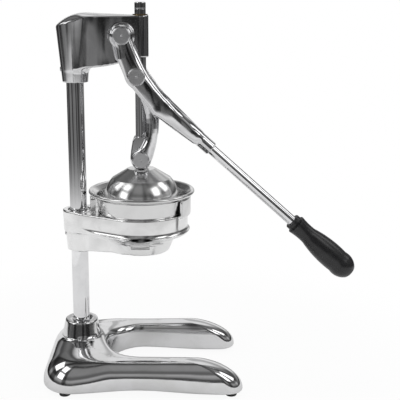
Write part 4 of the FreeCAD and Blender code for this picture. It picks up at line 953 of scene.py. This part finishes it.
def makeStrainerTree(sizes, material):
    tree = bpy.data.node_groups.new("flutes_and_holes", "GeometryNodeTree")
    tree.interface.new_socket("Body", in_out="INPUT", socket_type="NodeSocketGeometry")
    for label, value in sizes.items():
        kind = "NodeSocketInt" if isinstance(value, int) else "NodeSocketFloat"
        tree.interface.new_socket(label, in_out="INPUT", socket_type=kind)
    tree.interface.new_socket("Mesh", in_out="OUTPUT", socket_type="NodeSocketGeometry")
    given, result = addNode(tree, "NodeGroupInput").outputs, addNode(tree, "NodeGroupOutput")

    # a cube of size one, stretched to lie on the reamer's slope
    size = addNode(tree, "ShaderNodeCombineXYZ", X=1.0, Z=1.0)
    tree.links.new(given["Flute Width"], size.inputs["Y"])
    cube = addNode(tree, "GeometryNodeMeshCube")
    tree.links.new(size.outputs[0], cube.inputs["Size"])
    spot = addNode(tree, "ShaderNodeSeparateXYZ")
    tree.links.new(addNode(tree, "GeometryNodeInputPosition").outputs[0], spot.inputs[0])
    climb = math2(tree, "ADD", spot.outputs["Z"], 0.5)
    out = math2(tree, "ADD", spot.outputs["X"], 0.5)
    inner = addRange(tree, climb, given["Inner Foot"], given["Inner Tip"])
    outer = addRange(tree, climb, given["Outer Foot"], given["Outer Tip"])
    moved = addNode(tree, "ShaderNodeCombineXYZ")
    tree.links.new(addRange(tree, out, inner, outer), moved.inputs["X"])
    tree.links.new(spot.outputs["Y"], moved.inputs["Y"])
    tree.links.new(addRange(tree, climb, given["Flute Foot"], given["Flute Tip"]), moved.inputs["Z"])
    flute = addNode(tree, "GeometryNodeSetPosition")
    tree.links.new(cube.outputs[0], flute.inputs["Geometry"])
    tree.links.new(moved.outputs[0], flute.inputs["Position"])

    drill = addNode(tree, "GeometryNodeMeshCylinder", Vertices=strainer["drillSides"])
    tree.links.new(given["Hole Radius"], drill.inputs["Radius"])
    tree.links.new(given["Hole Depth"], drill.inputs["Depth"])
    hole = addNode(tree, "GeometryNodeTransform")
    centre = addNode(tree, "ShaderNodeCombineXYZ")
    tree.links.new(given["Hole Circle"], centre.inputs["X"])
    tree.links.new(given["Hole Height"], centre.inputs["Z"])
    tree.links.new(drill.outputs[0], hole.inputs["Geometry"])
    tree.links.new(centre.outputs[0], hole.inputs["Translation"])

    joined = addNode(tree, "GeometryNodeMeshBoolean", operation="UNION")
    tree.links.new(given["Body"], joined.inputs[1])
    tree.links.new(makeRing(tree, flute.outputs[0], given["Flutes"]), joined.inputs[1])
    drilled = addNode(tree, "GeometryNodeMeshBoolean", operation="DIFFERENCE")
    tree.links.new(joined.outputs[0], drilled.inputs[0])
    tree.links.new(makeRing(tree, hole.outputs[0], given["Holes"]), drilled.inputs[1])

    # smooth faces, with the steep edges left sharp
    soft = addNode(tree, "GeometryNodeSetShadeSmooth")
    tree.links.new(drilled.outputs[0], soft.inputs[0])
    angle = addNode(tree, "GeometryNodeInputMeshEdgeAngle")
    steep = math2(tree, "GREATER_THAN", angle.outputs[0], strainer["crispAngle"])
    crisp = addNode(tree, "GeometryNodeSetShadeSmooth", domain="EDGE")
    crisp.inputs[2].default_value = False
    tree.links.new(soft.outputs[0], crisp.inputs[0])
    tree.links.new(steep, crisp.inputs[1])
    real = addNode(tree, "GeometryNodeRealizeInstances")
    tree.links.new(crisp.outputs[0], real.inputs[0])
    dressed = addNode(tree, "GeometryNodeSetMaterial", Material=material)
    tree.links.new(real.outputs[0], dressed.inputs[0])
    tree.links.new(dressed.outputs[0], result.inputs[0])
    return tree


def makeStrainer():
    s = strainer
    lip, foot, wall = highest("strainer").x, s["foot"], s["wall"]
    plate = lip - s["lean"]
    top, shoulder = foot + wall, s["top"] - s["tipDrop"]
    corners = [(s["reamer"] - wall, foot, 0.2), (plate, foot, 0.6), (lip, foot + s["lip"], 0.3),
               (lip - wall, foot + s["lip"], 0.3), (plate - wall, top, 0.4), (s["reamer"], top, 0.6),
               (s["tip"], shoulder, 2.5), (0, s["top"], 0), (0, s["top"] - 2 * wall, 0),
               (s["tip"] - wall, shoulder - wall, 2)]
    mesh = turnedMesh("strainer_turned", corners, closed=True, segments=120)
    # the cuts change the faces, so the tree sets the shading
    if "custom_normal" in mesh.attributes:
        mesh.attributes.remove(mesh.attributes["custom_normal"])
    sizes = {
        "Flutes": s["flutes"], "Flute Width": s["fluteWidth"] / metre,
        "Inner Foot": (s["reamer"] - s["fluteSink"]) / metre,
        "Inner Tip": (s["tip"] - s["fluteSink"]) / metre,
        "Outer Foot": (s["reamer"] + s["fluteHeight"]) / metre,
        "Outer Tip": (s["tip"] + s["fluteTip"]) / metre,
        "Flute Foot": (top - wall / 2) / metre, "Flute Tip": shoulder / metre,
        "Holes": s["holes"], "Hole Radius": s["holeRadius"] / metre, "Hole Circle": s["holeCircle"] / metre,
        "Hole Height": (foot + wall / 2) / metre, "Hole Depth": 3 * wall / metre,
    }
    blank = bpy.data.objects.new("strainer_turned", mesh)
    bpy.context.scene.collection.objects.link(blank)
    modifier = blank.modifiers.new("flutes_and_holes", "NODES")
    tree = makeStrainerTree(sizes, spun)
    modifier.node_group = tree
    for socket in tree.interface.items_tree:
        if socket.name in sizes:
            modifier[socket.identifier] = sizes[socket.name]
    finished = blank.evaluated_get(bpy.context.evaluated_depsgraph_get())
    made = bpy.data.meshes.new_from_object(finished)
    made.name = "strainer_pressing"
    blank.modifiers.clear()
    bpy.data.objects.remove(blank)
    addPiece(made, "frame", ["strainer"], spun)


# Handle: rod and moulded grip along the handle's axis
handle = {
    "rod": 5.8, "rodStart": 2.1, "rodEnd": 219, "gripStart": 145.4, "gripLength": 93, "ring": 9.1,
    "ringLength": 4.5, "groove": 8.2, "grooveWidth": 1.6, "neck": 11.1, "waist": (10.2, 26),
    "belly": (14, 72), "end": (8.7, 2.4), "waistBend": 90, "bellyRise": 144, "bellyBend": 19.6,
    "neckEdge": 0.8, "endGap": 0.1,
}


def makeHandle():
    s = handle
    start = neckSpot + handleWay * s["rodStart"]
    length = s["rodEnd"] - s["rodStart"]
    corners = [(0, 0, 0), (s["rod"], 0, 0.5), (s["rod"], length, 1), (0, length, 0)]
    mesh = turnedMesh("handle_rod_bar", corners, along(start, handleWay))
    place = along(start / metre, handleWay)
    rodSteel = newMaterial("rod_steel", finishes["chromed"], place.translation, place.to_euler())
    addPiece(mesh, "hand_lever", ["handle_rod"], rodSteel)
    start = neckSpot + handleWay * s["gripStart"]
    mouth = s["ringLength"] + s["grooveWidth"]
    bore, depth = s["rod"] + clearance, s["rodEnd"] - s["gripStart"] + s["endGap"]
    neck, waist, belly = (s["neck"], mouth + s["neckEdge"]), s["waist"], s["belly"]
    end = (s["end"][0], s["gripLength"] - s["end"][1])
    cap = (s["end"][0] ** 2 + s["end"][1] ** 2) / (2 * s["end"][1])
    corners = [(0, depth, 0), (bore, depth, 0.5), (bore, 0, 0.4), (s["ring"], 0, 1.0),
               (s["ring"], s["ringLength"], 0.8), (s["groove"], s["ringLength"], 0.5),
               (s["groove"], mouth, 0.4), (s["neck"], mouth, 1.6), (*neck, 0)]
    corners += arcPoints(neck, waist, -s["waistBend"], 8) + [(*waist, 0)]
    corners += arcPoints(waist, belly, s["bellyRise"], 14) + [(*belly, 0)]
    corners += arcPoints(belly, end, s["bellyBend"], 8) + [(*end, 2.5)]
    corners += arcPoints(end, (0, s["gripLength"]), cap, 5) + [(0, s["gripLength"], 0)]
    mesh = turnedMesh("grip_moulding", corners, along(start, handleWay))
    addPiece(mesh, "hand_lever", ["grip"], gripPlastic)


# Pins: a headed shank along Y with a dimple in its face
pin = {
    "head": 9.4, "height": 3.2, "chamfer": 1.2, "dimple": 1.2, "dimpleDepth": 0.8, "tail": 3.1,
    "clipWidth": 1.5, "clipDepth": 0.7,
}


def pinCorners(radius, length, tail):
    s = pin
    corners = [(0, -length, 0), (radius, -length, 0.5)]
    if tail:
        near = s["tail"] - length
        far = near - s["clipWidth"]
        inner = radius - s["clipDepth"]
        corners += [(radius, far, 0.1), (inner, far, 0.1), (inner, near, 0.1), (radius, near, 0.1)]
    corners += [(radius, 0, 0.2), (s["head"], 0, 0.4), (s["head"], s["height"] - s["chamfer"], 0.25),
                (s["head"] - s["chamfer"], s["height"], 0.25), (s["dimple"], s["height"], 0.2),
                (0, s["height"] - s["dimpleDepth"], 0)]
    return corners


def makePins():
    rows = (
        ("upper_pin", "hand_lever", pivot, pinRadius, -1, "upper", True),
        ("near_stub_pin", "hand_lever", elbow, pinRadius, -1, "middle", False),
        ("far_stub_pin", "hand_lever", elbow, pinRadius, 1, "middle", False),
        ("lower_pin", "link_group", lowPivot, lowPinRadius, -1, "lower", True),
    )
    for node, body, spot, radius, way, face, tail in rows:
        low, high = lowest(node).y, highest(node).y
        seat = low + pin["height"] if way < 0 else high - pin["height"]
        length = high - low - pin["height"]
        place = along((spot.x, seat, spot.z), (0, way, 0))
        mesh = turnedMesh(node + "_turned", pinCorners(radius, length, tail), place)
        addPiece(mesh, body, [node], pinFace[face])


# Feet: rubber pads with a recess for the screw
pad = {"recess": 3.6, "recessDepth": 3.2, "bore": 2.05, "toe": 0.4}


def makeFeet():
    s = pad
    for node in feet:
        spot, top = middle(node), highest(node).z
        r = (highest(node).x - lowest(node).x) / 2
        corners = [(s["recess"], 0, 0.3), (r - s["toe"], 0, 0.8), (r, top, 0.3), (s["bore"], top, 0.2),
                   (s["bore"], s["recessDepth"], 0.2), (s["recess"], s["recessDepth"], 0.2)]
        place = Matrix.Translation((spot.x, spot.y, 0))
        mesh = turnedMesh(node + "_pad", corners, place, closed=True, segments=64)
        addPiece(mesh, "frame", [node], rubber)


for build in (makeColumn, makeRam, makeDome, makeBowl, makeStrainer, makeHandle, makePins, makeFeet):
    build()
print("turned pieces made")


# CAD nodes that stay: their finish only
kept = {
    zinc: ("foot_screws", "column_bolt", "column_washer", "head_set_screw", "carrier_set_screws",
           "dome_bolt", "dome_washer", "ram_ring"),
    bronze: ("lower_ram_bush", "upper_ram_bush", "near_link_bush", "far_link_bush"),
    pinFace["upper"]: ("upper_clip",),
    pinFace["lower"]: ("lower_clip",),
}
for material, nodes in kept.items():
    for node in nodes:
        mesh = frame["nodes"][node].data
        mesh.materials.clear()
        mesh.materials.append(material)
print("finishes given to the kept nodes")


# Studio: a small pale table that fades into white, a striped room that metal mirrors, and soft lamps
studio = {
    "tableRadius": 0.46, "tableSides": 96, "fadeStart": 0.24, "tableColour": (0.80, 0.80, 0.80),
    "shadowShare": 0.07, "fill": 0.66, "brightest": 0.80, "stripPower": 2.0,
    # heading in degrees round the object (0 is the camera's side, 90 is +X) and its brightness
    "strips": ((-180, 0.72), (-168, 0.62), (-160, 0.04), (-152, 0.12), (-140, 0.10), (-136, 0.02),
               (-118, 0.04), (-114, 0.15), (-104, 0.14), (-100, 0.03), (-82, 0.04), (-76, 0.16),
               (-50, 0.20), (-44, 0.04), (-34, 0.04), (-28, 0.15), (4, 0.18), (9, 0.03), (16, 0.03),
               (20, 0.14), (29, 0.13), (34, 0.04), (50, 0.04), (56, 0.16), (84, 0.12), (90, 0.22),
               (100, 0.22), (106, 0.06), (126, 0.10), (144, 0.16), (152, 0.55), (180, 0.72)),
    # sine of the height above the horizon and the strips' strength there
    "gain": ((-1.0, 0.5), (-0.10, 0.5), (-0.05, 0.22), (0.06, 0.18), (0.14, 0.75), (0.26, 1.10),
             (0.36, 0.35), (0.46, 0.35), (0.60, 0.70), (0.86, 0.75), (0.94, 0.45), (0.985, 0.2),
             (1.0, 0.15)),
    # the same below the horizon, for the table; between the two sines of tableRim it takes over
    "table": ((-1.0, 0.66), (-0.42, 0.70), (-0.30, 0.88), (-0.26, 0.82), (-0.20, 0.42), (-0.15, 0.20)),
    "tableRim": (-0.150, -0.270),
}


def makeFloor():
    segments, radius = studio["tableSides"], studio["tableRadius"]
    angles = [2 * math.pi * i / segments for i in range(segments)]
    spots = [(0, 0, 0)] + [(radius * math.cos(angle), radius * math.sin(angle), 0) for angle in angles]
    faces = [(0, i + 1, (i + 1) % segments + 1) for i in range(segments)]
    mesh = bpy.data.meshes.new("table_top")
    mesh.from_pydata(spots, [], faces)
    floor = bpy.data.objects.new("table_top", mesh)
    bpy.context.scene.collection.objects.link(floor)
    material = bpy.data.materials.new("table_top")
    material.use_nodes = True
    tree = material.node_tree
    tree.nodes.clear()
    out = addNode(tree, "ShaderNodeOutputMaterial")
    matt = addNode(tree, "ShaderNodeBsdfDiffuse", Color=(*studio["tableColour"], 1))
    white = addNode(tree, "ShaderNodeEmission", Color=(1, 1, 1, 1), Strength=1.0)
    path = addNode(tree, "ShaderNodeLightPath")
    coords = addNode(tree, "ShaderNodeTexCoord")
    reach = addNode(tree, "ShaderNodeVectorMath", operation="LENGTH")
    tree.links.new(coords.outputs["Object"], reach.inputs[0])
    fade = addNode(tree, "ShaderNodeMapRange", interpolation_type="SMOOTHSTEP")
    fade.inputs["From Min"].default_value = studio["fadeStart"]
    fade.inputs["From Max"].default_value = studio["tableRadius"]
    fade.inputs["To Min"].default_value = 1 - studio["shadowShare"]
    tree.links.new(reach.outputs["Value"], fade.inputs["Value"])
    share = math2(tree, "MULTIPLY", path.outputs["Is Camera Ray"], fade.outputs["Result"])
    mix = addNode(tree, "ShaderNodeMixShader")
    tree.links.new(share, mix.inputs[0])
    tree.links.new(matt.outputs[0], mix.inputs[1])
    tree.links.new(white.outputs[0], mix.inputs[2])
    tree.links.new(mix.outputs[0], out.inputs["Surface"])
    mesh.materials.append(material)


def addRamp(tree, value, marks, low, high):
    # A grey ramp whose marks are given between low and high.
    share = addNode(tree, "ShaderNodeMapRange")
    share.inputs["From Min"].default_value = low
    share.inputs["From Max"].default_value = high
    tree.links.new(value, share.inputs["Value"])
    node = addNode(tree, "ShaderNodeValToRGB")
    ramp = node.color_ramp.elements
    while len(ramp) < len(marks):
        ramp.new(0.5)
    for element, (place, level) in zip(ramp, marks):
        element.position = (place - low) / (high - low)
        element.color = (level, level, level, 1)
    tree.links.new(share.outputs["Result"], node.inputs["Fac"])
    return node.outputs["Color"]


def makeWorld():
    world = bpy.data.worlds.new("studio")
    bpy.context.scene.world = world
    world.use_nodes = True
    tree = world.node_tree
    tree.nodes.clear()
    out = addNode(tree, "ShaderNodeOutputWorld")
    coords = addNode(tree, "ShaderNodeTexCoord")
    split = addNode(tree, "ShaderNodeSeparateXYZ")
    tree.links.new(coords.outputs["Generated"], split.inputs[0])
    back = math2(tree, "MULTIPLY", split.outputs["Y"], -1.0)
    heading = math2(tree, "MULTIPLY", math2(tree, "ARCTAN2", split.outputs["X"], back), 180 / math.pi)
    strips = addRamp(tree, heading, studio["strips"], -180, 180)
    table = addRamp(tree, split.outputs["Z"], studio["table"], -1, 0)
    gain = addRamp(tree, split.outputs["Z"], studio["gain"], -1, 1)
    shade = math2(tree, "MULTIPLY", math2(tree, "MULTIPLY", strips, gain), studio["stripPower"])
    shade = math2(tree, "MINIMUM", shade, studio["brightest"])
    # below the horizon the strips give way to the table
    down = addNode(tree, "ShaderNodeMapRange", interpolation_type="SMOOTHSTEP")
    down.inputs["From Min"].default_value = studio["tableRim"][0]
    down.inputs["From Max"].default_value = studio["tableRim"][1]
    tree.links.new(split.outputs["Z"], down.inputs["Value"])
    low = addNode(tree, "ShaderNodeMix", data_type="RGBA")
    tree.links.new(down.outputs["Result"], low.inputs[0])
    tree.links.new(shade, low.inputs[6])
    tree.links.new(table, low.inputs[7])
    path = addNode(tree, "ShaderNodeLightPath")
    soft = addNode(tree, "ShaderNodeBackground", Color=(1, 1, 1, 1), Strength=studio["fill"])
    room = addNode(tree, "ShaderNodeBackground", Strength=1.0)
    white = addNode(tree, "ShaderNodeBackground", Color=(1, 1, 1, 1), Strength=1.0)
    tree.links.new(low.outputs[2], room.inputs["Color"])
    shiny = math2(tree, "MAXIMUM", path.outputs["Is Glossy Ray"], path.outputs["Is Transmission Ray"])
    first, second = addNode(tree, "ShaderNodeMixShader"), addNode(tree, "ShaderNodeMixShader")
    tree.links.new(shiny, first.inputs[0])
    tree.links.new(soft.outputs[0], first.inputs[1])
    tree.links.new(room.outputs[0], first.inputs[2])
    tree.links.new(path.outputs["Is Camera Ray"], second.inputs[0])
    tree.links.new(first.outputs[0], second.inputs[1])
    tree.links.new(white.outputs[0], second.inputs[2])
    tree.links.new(second.outputs[0], out.inputs["Surface"])


# place, height of the point it faces on the object's axis, width and height, watts, seen in reflections
lamps = {
    "high_left": ((-1.00, -0.55, 1.45), 0.1, (0.60, 0.60), 1.8, True),
    "middle_left": ((-1.35, -0.85, 0.80), 0.1, (0.70, 0.60), 2.0, True),
    "high_right": ((1.05, -0.75, 1.10), 0.1, (0.60, 0.80), 2.4, True),
    "side_left": ((-1.50, 0.25, 1.35), 0.2, (0.70, 0.90), 2.8, True),
    "side_right": ((1.50, 0.20, 1.30), 0.2, (0.70, 0.90), 2.8, True),
    "overhead": ((0.1, 0.5, 1.5), 0.2, (0.9, 0.6), 3, False),
}


def addLamp(name, spot, target, size, power, mirrored):
    lamp = bpy.data.lights.new(name, "AREA")
    lamp.shape = "RECTANGLE"
    lamp.size, lamp.size_y = size
    lamp.energy = power
    holder = bpy.data.objects.new(name, lamp)
    holder.location = spot
    holder.rotation_euler = (Vector((0, 0, target)) - Vector(spot)).to_track_quat("-Z", "Y").to_euler()
    holder.visible_camera = False
    holder.visible_glossy = mirrored
    bpy.context.scene.collection.objects.link(holder)


# focal length and sideways shift in pixels of the frame, tilt in degrees below the horizon
view = {
    "focal": 764.1, "shift": 31, "frame": 400, "sensor": 36, "place": (0.0306, -0.8331, 0.4076),
    "tilt": 13.69,
}


def makeCamera():
    camera = bpy.data.cameras.new("camera")
    camera.sensor_width = view["sensor"]
    camera.lens = view["focal"] / view["frame"] * view["sensor"]
    camera.shift_x = view["shift"] / view["frame"]
    holder = bpy.data.objects.new("camera", camera)
    holder.location = view["place"]
    holder.rotation_euler = (math.radians(90 - view["tilt"]), 0, 0)
    bpy.context.scene.collection.objects.link(holder)
    bpy.context.scene.camera = holder


makeFloor()
makeWorld()
for name, lamp in lamps.items():
    addLamp(name, *lamp)
makeCamera()
bpy.context.scene.view_settings.view_transform = "Standard"
print("studio made")
